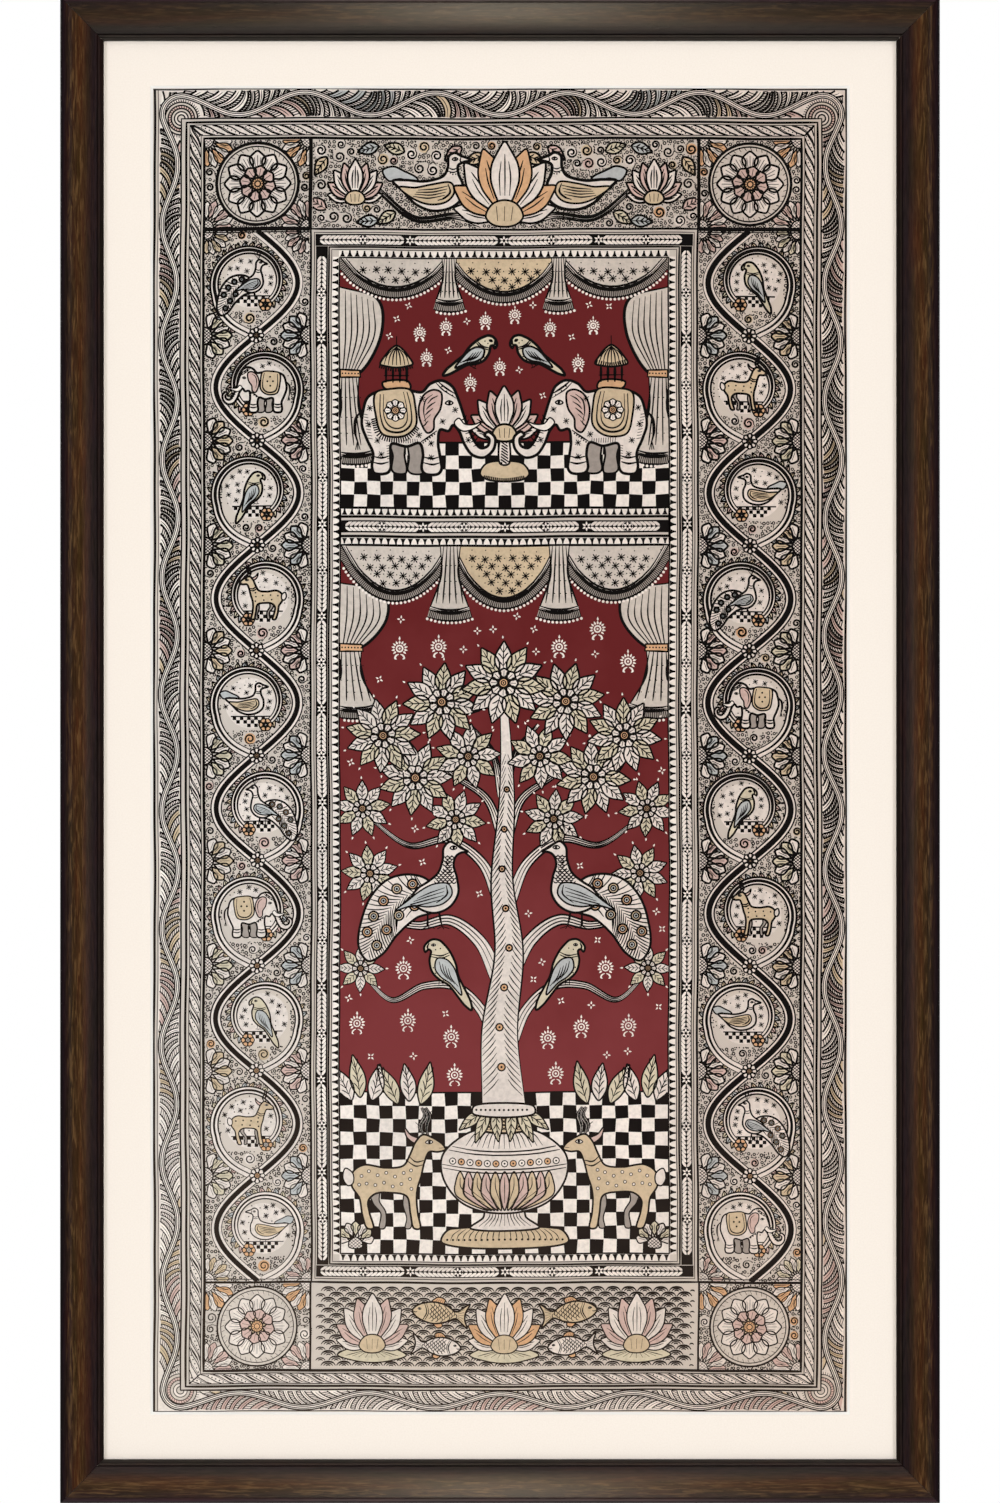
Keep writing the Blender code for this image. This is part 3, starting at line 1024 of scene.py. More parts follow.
def smallPanel(l, t, r, b):
    # two elephants by a lotus on its stand
    mid, floor = (l + r) / 2, b - 46
    backdrop(l, t, r, b, floor, 9.2)
    curtains(l, t, r, 20, floor + 8, 30, (22, 25), (5, 9.5, 30), 2.2)
    put = placing(mid, floor + 18)
    draw(put, 1.8, "ochre plain 0 -17,4 -13,-3 0,-5 13,-3 17,4 12,8 -12,8")
    strokes(smooth(put(points("-14,5 0,7 14,5"))), 1.3, 3, "fine", 1.82)
    draw(put, 1.85, "pale plain 0 -3,-3 -2,-22 2,-22 3,-3")
    hatch(put(points("-3,-3 -2,-22 2,-22 3,-3")), 1.7, (.6,), "fine", 1.86)
    lotus(placing(mid, floor - 4, .95), 1.9)
    for side in (-1, 1):
        put = placing(mid + side * 65, floor - 13, .81, 0, -side)
        pavilion(put, 2.6)
        elephant(put, 2.9, True)
        parrot(placing(mid + side * 20, t + 66, .44, -.5 * side, -side), 1.6, True)


def limb(places, w0, w1, depth, veins=2):
    # a branch that thins from w0 to w1, with lines along it
    path = smooth(places)
    n = len(path) - 1
    sides = [beside(path, lambda i: side * (w0 + (w1 - w0) * i / n) / 2) for side in (-1, 1)]
    area(sides[0] + sides[1][::-1], "pale", depth)
    for way in sides:
        line(way, "plain", depth)
    for k in range(veins):
        line([between(a, b, (k + 1) / (veins + 1)) for a, b in zip(*sides)][2:-2], "fine", depth)
    return path


def cluster(u, v, r, depth, n, turn):
    # leaves round a rosette, with a white drop at each tip
    for k in range(n):
        a = turn + 2 * pi * k / n
        put = placing(*around(u, v, r * .26, [a])[0], 1, a)
        leaf(put, r * .78, r * .43, ("pale", "lemon")[k % 2], depth + .02 * k, .04, 3)
        drops(u, v, r * 1.14, .8, [a], depth + .3)
    rosette(u, v, r * .36, 8, depth + .3, "pale", "orange", 1, turn)


def pot(u, v):
    # a full-bellied pot on a footed stand; v is the floor line
    put = placing(u, v)
    draw(put, 2.0, """
        ochre firm 0 -44,0 -40,-8 -30,-10 30,-10 40,-8 44,0
        line fine 0 -37.8,-1 -36,-5 -30.6,-9 by 19 4.2,0 4,0 3.4,0""")
    pearls(spaced(put([(-40, -1.6), (40, -1.6)]), 4), .8, 2.0)
    path = draw(put, 2.0, """
        pale firm .1 -24,-10 -15,-17 -13,-22 13,-22 15,-17 24,-10
        line fine .1 -18,-11 -11,-17 -10,-21 by 11 3.6,0 2.2,0 2,0
        pale firm .2 -13,-21 -32,-29 -43,-45 -43,-60 -30,-73 -15,-79 15,-79 30,-73 43,-60 43,-45
          32,-29 13,-21""")
    for k in range(-6, 7):                                        # upright petals round the belly
        x0, x1, up = 2.3 * k, 6.6 * k * (1 - .012 * abs(k)), 2.22 + .01 * (6 - abs(k))
        own = put([(x0, -22), (x1 - 3.1, -33), (x1 - 2.9, -43), (x1, -49), (x1 + 2.9, -43), (x1 + 3.1, -33)])
        if all(within(path, *p) for p in own[1:]):
            shape(own, "ochre" if k % 2 else "pink", up)
            curve(put([(x0 * 1.2, -27), (x1 * .98, -38), (x1, -45)]), "fine", up)
    for y, w in ((-51.5, 43), (-54, 43.4), (-64, 38.6), (-66.5, 36)):
        curve(put([(-w, y), (-w * .6, y + 2.6), (0, y + 3.6), (w * .6, y + 2.6), (w, y)]), "plain", 2.35)
    for k in range(-6, 7):
        x, y = put([(k * 6, -57 + 1.8 * cos(k * .25) + .6)])[0]
        ring(x, y, 2.2, 2.36, "fine", "orange" if k % 2 else "white")
        stamp("pearl", x, y, .7, 0, 2.37)
    for k in range(-7, 8):
        flute = [(k * 3.8, -67 + 2 * cos(k * .22)), (k * 3, -74 + 1.2 * cos(k * .3)), (k * 2.1, -78)]
        curve(put(flute), "fine", 2.35)
    draw(put, 2.4, "ochre firm 0 -15,-78 -12,-84 -19,-90 19,-90 12,-84 15,-78")
    hatch(put(points("-15,-78 -12,-84 -19,-90 19,-90 12,-84 15,-78")), 1.9, (.7, -.7), "fine", 2.4)
    for side in (-1, 1):                                          # leaves that hang over the rim
        for k, (a, long) in enumerate(((2.5, 20), (2.05, 24), (1.62, 22))):
            own = placing(u + side * (15 - 5 * k), v - 90 - k, 1, pi / 2 + side * (pi / 2 - a) * 1.1)
            leaf(own, long, 8, "lemon", 2.45 + .05 * k, .1 * side, 3)
    draw(put, 2.7, "pale firm 0 -21,-89 -22,-92 -20,-95 20,-95 22,-92 21,-89")
    pearls(spaced(put([(-19, -92), (19, -92)]), 3.2), .8, 2.7)


branches = (("4,30 16,58 34,74 56,74 78,64 97,80", 8, 2), ("4,78 18,106 38,120 60,116 80,122 92,148", 10, 2),
            ("3,130 16,160 40,176 66,172 96,192", 8, 2), ("2,176 12,204 34,220 56,236", 6, 2.4),
            ("2,206 8,236 24,256", 5, 2.2))
# how far out, how high and how large each cluster is
crowns = ((100, 86, 16), (94, 152, 19), (34, 190, 20), (99, 197, 19), (62, 219, 25), (25, 234, 22),
          (84, 248, 25), (43, 272, 26), (0, 285, 28))
# how far out, how low and how turned each leaf is, by the pot and in the top frieze
tufts = ((58, 8, -1.9), (66, 6, -1.55), (74, 8, -1.2), (92, 6, -1.9), (100, 4, -1.5), (106, 6, -1.2))
sprays = ((14, -20, .3), (30, -26, .6), (70, -22, -.4), (88, -26, .2), (124, -18, .9), (124, 18, -.6),
          (76, 20, .5), (88, 26, 0))


def mainPanel(l, t, r, b):
    # a flowering tree in a pot, between peacocks, parrots and deer
    mid, floor = (l + r) / 2, b - 112
    backdrop(l, t, r, b, floor, 9.0)
    curtains(l, t, r, 26, t + 112, 34, (33, 38), (7, 14, 44), 2.3)
    for side in (-1, 1):
        for places, w0, w1 in branches:
            limb([(mid + side * x, floor - y) for x, y in points(places)], w0, w1, 1.6)
    trunk = placing(mid, floor)(points("0,8 -3,-40 3,-95 -2,-150 2,-210 0,-272"))
    trunk = limb(trunk, 30, 5, 1.7, 0)
    for k in range(51):                                           # strokes of bark, leaning up to the middle
        y = floor + 2 - k * 4.6
        x, w = min((abs(p[1] - y), p[0]) for p in trunk)[1], 13.6 - k * .205
        for side in (-1, 1):
            bark = placing(x, y, 1, 0, side)([(w, 0), (w * .5, -4 - w * .2), (w * .24, -6 - w * .4)])
            curve(bark, "fine", 1.7)
        if k % 6 == 3 and k < 46:
            ring(x, y - 6, 2.7 - k * .02, 1.72, "plain", "orange")
            stamp("pearl", x, y - 6, .8, 0, 1.73)
    for k, (x, y, size) in enumerate(crowns):
        leaves = 11 if size > 24 else 9 if size > 18 else 8
        for side in ((-1, 1) if x else (1,)):
            u = mid + side * x
            lightly(.5 + size / 70, cluster, u, floor - y, size, 2 + .3 * k, leaves, side * .3 * k)
    for side in (-1, 1):
        peacock(placing(mid + side * 51, floor - 140, .84, 0, -side), 3.4, True)
        parrot(placing(mid + side * 41, floor - 86, .56, side * .1, side), 2.9, True)
        for k, (x, y, a) in enumerate(tufts):
            put = placing(mid + side * x, floor + y, 1, a if side > 0 else pi - a)
            leaf(put, 30 - 4 * (k % 2), 11, ("lemon", "pale")[k % 2], 1.8 + .03 * k, .1 * side, 4)
        deer(placing(mid + side * 77, b - 50, .86, 0, -side), 2.2, True)
        fan(placing(mid + side * 104, b - 7, 1, -pi / 2), 15, 7, 1.3, "lemon", 2.1)
    pot(mid, b - 8)


# the outer field

field = {"bays": 10, "swing": 28.5, "steps": 28, "aside": 4.2, "eye": 17.6, "reach": 36, "roll": 5.55,
         "bends": 60, "check": 2.5}


def column(xc, half, v0, v1, bays, first, who):
    # a swaying stem with a rolled vine, a creature and two fans in every bay
    high = (v1 - v0) / bays
    steps = bays * field["steps"]
    swing = first * field["swing"]
    stem = [(xc + swing * sin(pi * bays * k / steps), v0 + (v1 - v0) * k / steps) for k in range(steps + 1)]
    for k in range(bays + 1):
        for side in (-1, 1):
            tint = tints[(k * 2 + (side > 0) + (xc > 240)) % 4]
            if 0 < k < bays:
                fan(placing(xc + side * half, v0 + k * high, 1, 0 if side < 0 else pi), 19, 7, 1.2, tint, 1.3)
                continue
            slip, turn = (1, .8) if k == 0 else (-1, -.8)
            put = placing(xc + side * (half - 1), v0 + k * high + slip, 1, turn if side < 0 else pi - turn)
            lightly(.7, fan, put, 17, 6, .75, tint, 1.3)
    for k in range(bays):
        s = first * (-1) ** k
        cx, cy = xc - s * field["aside"], v0 + (k + .5) * high
        vine = []
        for j in range(field["bends"]):
            t = j / (field["bends"] - 1)
            rad = field["reach"] - 9.4 * min(1, t * 4.5) ** .7 - 8.5 * t ** 1.5
            vine += placing(cx, cy, 1, 0, s)(around(0, 0, rad, [pi / 2 + t * field["roll"]]))
        for j in range(3, len(vine) - 2, 2):                      # small leaves along the outside
            (x, y), (x1, y1) = vine[j:j + 2]
            put = placing(x, y, 1, atan2(y1 - y, x1 - x) - s)
            leaf(put, 6.4, 3.6, tints[(j // 2 + k) % 4], 1.6 + .004 * (j % 12), s * -.12, 0, "fine")
        limb(vine, 6.2, 4, 1.8, 0)
        line(vine, 1.8, 1.82)
        for row in range(4):                                      # chequers under the creature
            for q in range(-7, 8):
                x, y = (q + .5) * field["check"], 10.4 + row * field["check"]
                if (q + row) % 2 and hypot(abs(x) + 1.2, y + 1.2) < field["eye"]:
                    stamp("check", cx + x, cy + y, field["check"], 0, 1.55)
        ruled([(cx - 13.7, cy + 9.2), (cx + 13.7, cy + 9.2)], "fine", 1.6)
        (x0, y0), bud = vine[-4], vine[-1]
        at = around(*bud, 2.4, [atan2(bud[1] - y0, bud[0] - x0)])[0]
        lightly(.7, rosette, *at, 4.6, 6, 1.9, "orange", "white", 0)
        lightly(.74, who[k % len(who)], placing(cx, cy, .39, 0, s), 2.2)
    for away in (-3.6, 3.6):
        line(beside(stem, away), "fine", 2.02)
    area(beside(stem, -3.6) + beside(stem, 3.6)[::-1], "pale", 2.0)
    ruled(stem, 2.9, 2.02)
    for k in range(1, bays):                                      # a knot where the stem crosses the middle
        lightly(.75, rosette, xc, v0 + k * high, 5.4, 8, 2.3, "pale", "orange", 0)


def cornerBlock(l, t, r, b):
    u, v = (l + r) / 2, (t + b) / 2
    for k, (x, y) in enumerate(box(l, t, r, b)):
        tint = "orange" if y == t else "pink"
        lightly(.7, fan, placing(x, y, 1, (.25 + .5 * k) * pi), 21, 6, .72, tint, 1.2)
    size = min(r - l, b - t) / 2 - 2
    ring(u, v, size, 1.5, 1.6, "cloth")
    ring(u, v, size - 2.4, 1.5, "fine")
    for k in range(40):
        a = k * pi / 20
        line(around(u, v, size - 2.4, [a]) + around(u, v, size - 5, [a + .05]), "fine", 1.5)
    rosette(u, v, size - 5.5, 12, 1.6, "pale", "ochre", 3)
    rosette(u, v, (size - 5.5) * .55, 8, 1.9, "pink", "orange", 1, .2)


def topFrieze(l, t, r, b):
    mid, v = (l + r) / 2, (t + b) / 2
    for side in (-1, 1):
        goose(placing(mid + side * 46, v + 4, .72, 0, -side), 1.8, True)
        stalk = [(16, b - 2), (34, b - 8), (62, b - 6), (84, v + 8), (104, v - 14)]
        limb([(mid + side * x, y) for x, y in stalk], 4.2, 2.6, 1.6)
        lotus(placing(mid + side * 104, v + 12, .78), 1.9)
        for k, (x, y, a) in enumerate(sprays):
            put = placing(mid + side * x, v + y, 1, a if side > 0 else pi - a)
            leaf(put, 15, 8, tints[k % 4], 1.4 + .02 * k, .08 * side, 3)
    lotus(placing(mid, b - 6, 1.45), 2, "pale", "orange")


def bottomFrieze(l, t, r, b):
    mid, v = (l + r) / 2, (t + b) / 2
    row, y = 0, t + 3.5                                           # ripples
    while y < b - 1:
        x = l + (5.5 if row % 2 else 0)
        while x < r - 2:
            for s in (5.2, 3.3, 1.5):
                arc = [(x + s * cos(a), y - s * .62 * sin(a) + 1.6) for a in (.15, .8, pi / 2, 2.34, 2.99)]
                if l + 1 < arc[-1][0] and arc[0][0] < r - 1 and t + 1 < arc[2][1]:
                    curve(arc, "plain" if s < 5 else "firm", 1.1)
            x += 11
        y += 3.7
        row += 1
    for x, way in ((-46, -1), (46, 1)):
        fish(placing(mid + x, v - 10, .44, -.1 * way, way), 1.5, "ochre")
        fish(placing(mid + x, v + 13, .38, -.1 * way, -way), 1.5, "pale")
    for x in (-92, 0, 92):
        put = placing(mid + x, b - 12)
        draw(put, 1.6, "lemon plain 0 -24,2 -14,-3 0,-4.5 14,-3 24,2 13,6 0,7.5 -13,6")
        for k in range(-4, 5):
            line(put([(k * 1.2, -1), (k * 4.6, 4.6 - abs(k) * .5)]), "fine", 1.6)
        lotus(placing(mid + x, b - 15, 1.02), 1.8, "pale", "pink" if x else "orange")


# everything, in order

def inside(region, make, *rest, skip=0):
    # draws within a region, and returns the room left in it; the first marks may be skipped as ground
    limits[:] = region
    since = len(areas) + skip, len(lines)
    make(*rest)
    limits.clear()
    return roomLeft(region, since)


def curls(region, free, share=1.0):
    # rolled shoots in the larger gaps, then ringlets, then dots
    for clear, size, tries in ((4, 3.9, 3000), (3, 2.9, 6000)):
        scatter(region, free, clear, int(tries * share), lambda u, v: tendril(u, v, size, 1.1))
    tries = int(26000 * share)
    scatter(region, free, 1, tries, lambda u, v: stamp("ringlet", u, v, dice.uniform(1.15, 1.4), 0, 1.1))
    scatter(region, free, 0, tries, lambda u, v: stamp("pearl", u, v, dice.uniform(.4, .58), 0, 1.1))


def clearing(region, free, u, v):
    # a pale eye round a creature, with stars in it and none of the curls
    reach = 20
    x, y = int(u - reach - region[0]), int(v - reach - region[1])
    left = max(x, 0)
    part = free[y:y + 2 * reach, left:x + 2 * reach]
    here = (region[0] + left, region[1] + y)
    area(around(u, v, field["eye"], [a / 12 for a in range(76)]), "pale", 1.55)
    part[reach + 9:] = False                                      # where the chequers are
    scatter(here, part, 2, 300, lambda u, v: starSprig(u, v, 2.1, 1.6))
    scatter(here, part, 1, 300, lambda u, v: stamp("pearl", u, v, .45, 0, 1.6))
    part[:] = False


l, t, r, b = 36.4, 36, 449.8, 891.4      # the outer field
fl, ft, fr, fb = 110, 98, 379, 831       # the frame round the two panels
for x0, x1, way in ((l, fl - 1.6, 1), (fr + 1.6, r, -1)):
    who = [peacock, elephant, parrot, deer, goose] if way > 0 else [parrot, deer, goose, peacock, elephant]
    region = (x0 - .6, ft + 1, x1 + .6, fb - 1)
    xc, high = (x0 + x1) / 2, (fb - ft - 2) / field["bays"]
    free = inside(region, column, xc, (x1 - x0) / 2, ft + 1, fb - 1, field["bays"], way, who)
    for k in range(field["bays"]):
        clearing(region, free, xc - way * (-1) ** k * field["aside"], ft + 1 + (k + .5) * high)
    curls(region, free)
    for v0, v1 in ((t, ft - 1), (fb + 1, b)):
        block = (x0 - .6, v0, x1 + .6, v1)
        curls(block, inside(block, cornerBlock, x0, v0, x1, v1), .15)
    for y, off in ((ft, 2.2), (fb, -2.2)):
        ruled([(x0 - 1, y), (x1 + 1, y)], 2.0, 2.6)
        ruled([(x0 - 1, y + off), (x1 + 1, y + off)], .6, 2.6)
for x in (fl - .6, fr + .6):
    for v0, v1 in ((t - 1, ft), (fb, b + 1)):
        ruled([(x, v0), (x, v1)], 1.9, 2.9)
region = (fl + 1, t, fr - 1, ft - 1.5)
curls(region, inside(region, topFrieze, *region), .5)
region = (fl + 1, fb + 1.5, fr - 1, b)
inside(region, bottomFrieze, *region)
pl, pt, pr, pb = inner
region = (pl, pt, pr, 292)
free = inside(region, smallPanel, *region, skip=1)
scatter(region, free, 8, 700, lambda u, v: whiteSprig(u, v - .5, .75, 1.2))
scatter(region, free, 4, 500, lambda u, v: whiteCross(u, v, .9, 1.2, dice.uniform(-.3, .9)))
rule(pl - .5, 292, pr + .5, 318, 1.3, 2)
pointRow((pl, 292.6), (pr, 292.6), 1.6)
ruled([(pl, 298.2), (pr, 298.2)], 1.3, 2)
wheatBand((pl, 305), (pr, 305), 9, 1.6)
ruled([(pl, 311.8), (pr, 311.8)], 1.3, 2)
pointRow((pr, 317.4), (pl, 317.4), 1.6)
region = (pl, 318.6, pr, pb)
free = inside(region, mainPanel, *region, skip=1)
scatter(region, free, 10, 1500, lambda u, v: whiteSprig(u, v - .5, .95, 1.2))
scatter(region, free, 5, 1200, lambda u, v: whiteCross(u, v, .95, 1.2, dice.uniform(-.3, .9)))


# finishes

def linear(rgb, lift=1.0):
    rgb = [c * lift for c in rgb]
    return (*(((c / 255 + .055) / 1.055) ** 2.4 if c > 10 else c / 3294.6 for c in rgb), 1)


def node(tree, kind, **values):
    # a node set out on a plain grid, with its inputs or its settings by name
    count = len(tree.nodes)
    n = tree.nodes.new(kind)
    n.location = (240 * (count % 7) - 1400, 600 - 300 * (count // 7))
    for key, value in values.items():
        if key in n.inputs:
            n.inputs[key].default_value = value
        else:
            setattr(n, key, value)
    return n


def join(tree, *pairs):
    for source, target in pairs:
        tree.links.new(source, target)


def feed(tree, n, values):
    # each value is a plain setting or another node's output
    for key, value in values.items():
        if isinstance(value, (tuple, float, int)):
            n.inputs[key].default_value = value
        elif value is not None:
            tree.links.new(value, n.inputs[key])


def ramp(tree, factor, stops):
    # a colour, or a plain share, by how far along the factor is
    n = node(tree, "ShaderNodeValToRGB")
    join(tree, (factor, n.inputs[0]))
    while len(n.color_ramp.elements) < len(stops):
        n.color_ramp.elements.new(.5)
    for e, (place, value) in zip(n.color_ramp.elements, stops):
        e.position = place
        e.color = (*(value[:3] if isinstance(value, tuple) else (value,) * 3), 1)
    return n.outputs[0]


def sums(tree, how, a, b=None, c=None):
    n = node(tree, "ShaderNodeMath", operation=how)
    feed(tree, n, {0: a, 1: b, 2: c})
    return n.outputs[0]


def mixed(tree, factor, a, b, how="MIX"):
    n = node(tree, "ShaderNodeMix", data_type="RGBA", blend_type=how)
    feed(tree, n, {0: factor, 6: a, 7: b})
    return n.outputs[2]


def times(tree, a, b):
    return mixed(tree, 1.0, a, b, "MULTIPLY")


def axes(tree, where):
    n = node(tree, "ShaderNodeSeparateXYZ")
    join(tree, (where, n.inputs[0]))
    return n.outputs


def grain(tree, where, scale, detail, kind="Noise", out="Fac", **values):
    n = node(tree, "ShaderNodeTex" + kind, Scale=scale, **({"Detail": detail} if detail else {}), **values)
    join(tree, (where, n.inputs["Vector"]))
    return n.outputs[out]


def newFinish(name, rough, specular):
    m = bpy.data.materials.new(name)
    m.use_nodes = True
    tree = m.node_tree
    shader = tree.nodes["Principled BSDF"]
    feed(tree, shader, {"Roughness": rough, "Specular IOR Level": specular})
    return m, tree, shader, node(tree, "ShaderNodeTexCoord").outputs["Object"]


def surface(tree, shader, colour, height, strength, distance):
    # the colour and the fine relief of a finish
    bump = node(tree, "ShaderNodeBump", Strength=strength, Distance=distance)
    join(tree, (colour, shader.inputs["Base Color"]), (height, bump.inputs["Height"]),
         (bump.outputs[0], shader.inputs["Normal"]))


# down is painted shade, darker at the top of the cloth and lighter at the foot; across makes it darker and
# yellower towards the right
fieldLook = {"down": ((0, (.98, .965, .95)), (.35, (1.01, 1.005, 1.0)), (.6, (1.03, 1.03, 1.03)),
                      (.8, (1.06, 1.05, 1.04)), (1, (1.08, 1.06, 1.02))),
             "across": ((0, (1.03, 1.04, 1.05)), (1, (.93, .86, .82))),
             "ink": ((0, (10, 7, 6)), (.55, (14, 9, 8)), (.75, (38, 30, 25)), (1, (54, 44, 37))),
             "maroon": ((.3, (97, 31, 32)), (.46, (110, 43, 44)), (.62, (121, 52, 54)))}


def heights(tree, where):
    # how far down and how far across the cloth a place lies, from 0 to 1
    x, _, z = axes(tree, where)
    down = sums(tree, "MULTIPLY_ADD", z, -1000 / sheetHeight, .5 + windowMiddle.z * 1000 / sheetHeight)
    return down, sums(tree, "MULTIPLY_ADD", x, 1000 / sheetWidth, .5)


def shadedDownTintedAcross(tree, where, colour):
    # painted shade: the cloth and its colours are darker and duller at the top and lighter towards the foot;
    # they are also darker and yellower towards the right
    for factor, key in zip(heights(tree, where), ("down", "across")):
        colour = times(tree, colour, ramp(tree, factor, fieldLook[key]))
    return colour


def paintFinish(name, rgb):
    # matt colour brushed on primed cloth: soft blotches, brush streaks and the weave under it
    dark = name.startswith(("ink", "black", "maroon"))
    m, tree, shader, where = newFinish(name, .78, .08 if dark else .2)
    soft, fine = grain(tree, where, 21.0, 3.0, Roughness=.6), grain(tree, where, 420.0, 2.0)
    if dark:
        # the black is full at the top, and thin and brown towards the foot
        down, across = heights(tree, where)
        uneven = sums(tree, "MULTIPLY_ADD", soft, .3, -.15)
        later = sums(tree, "MULTIPLY_ADD", across, -.22, down)
        look = fieldLook["maroon" if name.startswith("maroon") else "ink"]
        colour = ramp(tree, sums(tree, "ADD", later, uneven), [(place, linear(tone)) for place, tone in look])
    else:
        worn = ramp(tree, soft, ((.35, linear(rgb)), (.72, linear(rgb, .93))))
        # painted shade: darker at the top of the cloth, lighter at the foot
        colour = shadedDownTintedAcross(tree, where, times(tree, worn, ramp(tree, fine, ((.3, .86), (.6, 1.01)))))
    surface(tree, shader, colour, fine, .12, .0003)
    return m


clothLook = {"bare": (204, 196, 187), "weave": 1350.0,
             "blots": ((.3, (.90, .905, .92)), (.55, 1), (.8, (1.03, 1.01, .97)))}


def clothFinish():
    # primed cotton: faint blotches and the weave of its threads
    m, tree, shader, where = newFinish("primedCotton", .85, .2)
    blots = ramp(tree, grain(tree, where, 9.0, 4.0, Roughness=.62), clothLook["blots"])
    # painted shade: darker at the top of the cloth, lighter at the foot
    colour = shadedDownTintedAcross(tree, where, times(tree, linear(clothLook["bare"]), blots))
    x, _, z = axes(tree, where)
    waves = [sums(tree, "SINE", sums(tree, "MULTIPLY", axis, clothLook["weave"] * pi)) for axis in (x, z)]
    weave = sums(tree, "MULTIPLY", *waves)
    colour = times(tree, colour, sums(tree, "MULTIPLY_ADD", weave, .03, .985))
    surface(tree, shader, colour, weave, .25, .0002)
    return m


middle = -.512                            # how high the frame's middle is
# tones, crown and shine of the lacquered moulding, by millimetres in from its outer edge; the tones are
# partly the stain and partly painted light, lighter on the crown with painted shade in the hollow and at the
# edges
woodLook = {"bands": ((.12, (58, 42, 34)), (.7, (18, 17, 18)), (2.6, (34, 23, 28)), (5, (36, 23, 22)),
                      (7, (46, 31, 27)), (10, (55, 36, 23)), (14, (65, 42, 24)), (17, (63, 40, 26)),
                      (19.5, (52, 35, 28)), (22, (37, 26, 27)), (25, (37, 28, 31)), (26.6, (40, 30, 29)),
                      (29, (26, 19, 18))),
            "crown": ((4, 0), (8, 1), (15, 1), (19, .12), (30, .05)), "width": 30,
            "matt": ((0, .6), (1.3, .26), (4, .18), (7, .16), (13, .15), (18.5, .2), (22.5, .3), (25, .5),
                     (26.3, .36), (28, .5)),
            "pale": (124, 94, 58), "olive": (.84, .98, .78), "red": (1.2, .92, .84),
            "glow": (1, .93, .8, 1), "stretch": .08,
            # each rail: its side, its lift, its rim lift and its shine; the lifts are painted light and
            # shade, a darker top rail and painted light on the outer rims of the top and bottom rails
            "rails": (("left", .98, .98, .02), ("right", .96, .96, .02), ("top", .72, 1.5, .26),
                      ("bottom", .98, 1.6, .2))}


def woodFinish(side, lift, edgeLift, shine):
    # stained wood under lacquer: short pale flecks along the crown, near black in the hollow and at the
    # edges, partly the stain and partly painted shade; each rail's lifts paint its own light and shade
    m, tree, shader, where = newFinish(side + "RailWood", .4, shine)
    feed(tree, shader, {"Specular Tint": woodLook["glow"]})
    (left, _, low), (right, _, high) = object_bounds()
    x, _, z = axes(tree, where)
    upright = side in ("left", "right")
    if upright:
        fromEdge = sums(tree, "SUBTRACT", (right - left) / 2, sums(tree, "ABSOLUTE", x))
    else:
        height = sums(tree, "ABSOLUTE", sums(tree, "SUBTRACT", z, middle))
        fromEdge = sums(tree, "SUBTRACT", (high - low) / 2, height)
    across = sums(tree, "DIVIDE", fromEdge, woodLook["width"] / 1000)
    # painted light and shade: the outer 3 mm takes the rail's rim lift, the rest takes its lift
    tones = [(mm, linear(tone, edgeLift if mm < 3 else lift)) for mm, tone in woodLook["bands"]]
    bare = ((.3, .01), (1.2, shine))                              # the outer faces have no lacquer
    bands, crown, matt, gloss = (ramp(tree, across, [(mm / woodLook["width"], value) for mm, value in stops])
                                 for stops in (tones, woodLook["crown"], woodLook["matt"], bare))
    join(tree, (matt, shader.inputs["Roughness"]), (gloss, shader.inputs["Specular IOR Level"]))
    long = woodLook["stretch"]
    mapping = node(tree, "ShaderNodeMapping", Scale=(1, 1, long) if upright else (long, 1, 1))
    join(tree, (where, mapping.inputs["Vector"]))
    run = mapping.outputs[0]
    fleck = grain(tree, run, 760.0, 3.0, Roughness=.6, Distortion=.5)
    pores = ramp(tree, grain(tree, run, 1150.0, 2.0, Roughness=.6), ((.4, (.72, .7, .7)), (.56, 1.06)))
    broad = grain(tree, run, 190.0, 3.0)
    tone = ramp(tree, broad, ((.32, woodLook["olive"]), (.5, 1), (.68, woodLook["red"])))
    share = sums(tree, "MULTIPLY", crown, ramp(tree, fleck, ((.5, 0), (.66, .42))))
    colour = mixed(tree, share, times(tree, times(tree, bands, tone), pores), linear(woodLook["pale"], lift))
    surface(tree, shader, colour, fleck, .18, .0003)
    return m


def cardFinish():
    # cream mount board: fine paper grain, and a whiter core where the window is cut on the slant
    m, tree, shader, where = newFinish("mountCard", .9, .2)
    fine = grain(tree, where, 900.0, 3.0, Roughness=.7)
    face = ramp(tree, fine, ((.3, linear((243, 234, 223))), (.7, linear((249, 241, 231)))))
    _, y, _ = axes(tree, node(tree, "ShaderNodeNewGeometry").outputs["True Normal"])
    slant = sums(tree, "LESS_THAN", sums(tree, "ABSOLUTE", y), .9)
    surface(tree, shader, mixed(tree, slant, face, linear((252, 250, 246))), fine, .1, .0002)
    return m


def hardboardFinish():
    # pressed brown fibre
    m, tree, shader, where = newFinish("backingHardboard", .8, .25)
    soft = grain(tree, where, 14.0, 4.0)
    brown = ramp(tree, soft, ((.3, linear((128, 98, 70))), (.7, linear((150, 118, 86)))))
    fibre = grain(tree, where, 650.0, None, "Voronoi", "Distance")
    colour = times(tree, brown, ramp(tree, fibre, ((0, (1.08, 1.06, 1.02)), (.6, (.8, .78, .74)))))
    surface(tree, shader, colour, fibre, .3, .0003)
    return m


# from marks to pieces

depthStep, paintLift = .0001, .00005      # metres in front of the cloth: each unit of depth, the first coat
mapSpan = .96                             # metres of cloth that the flat map spans
waver = {"gap": 7, "flat": .03, "longest": 12}


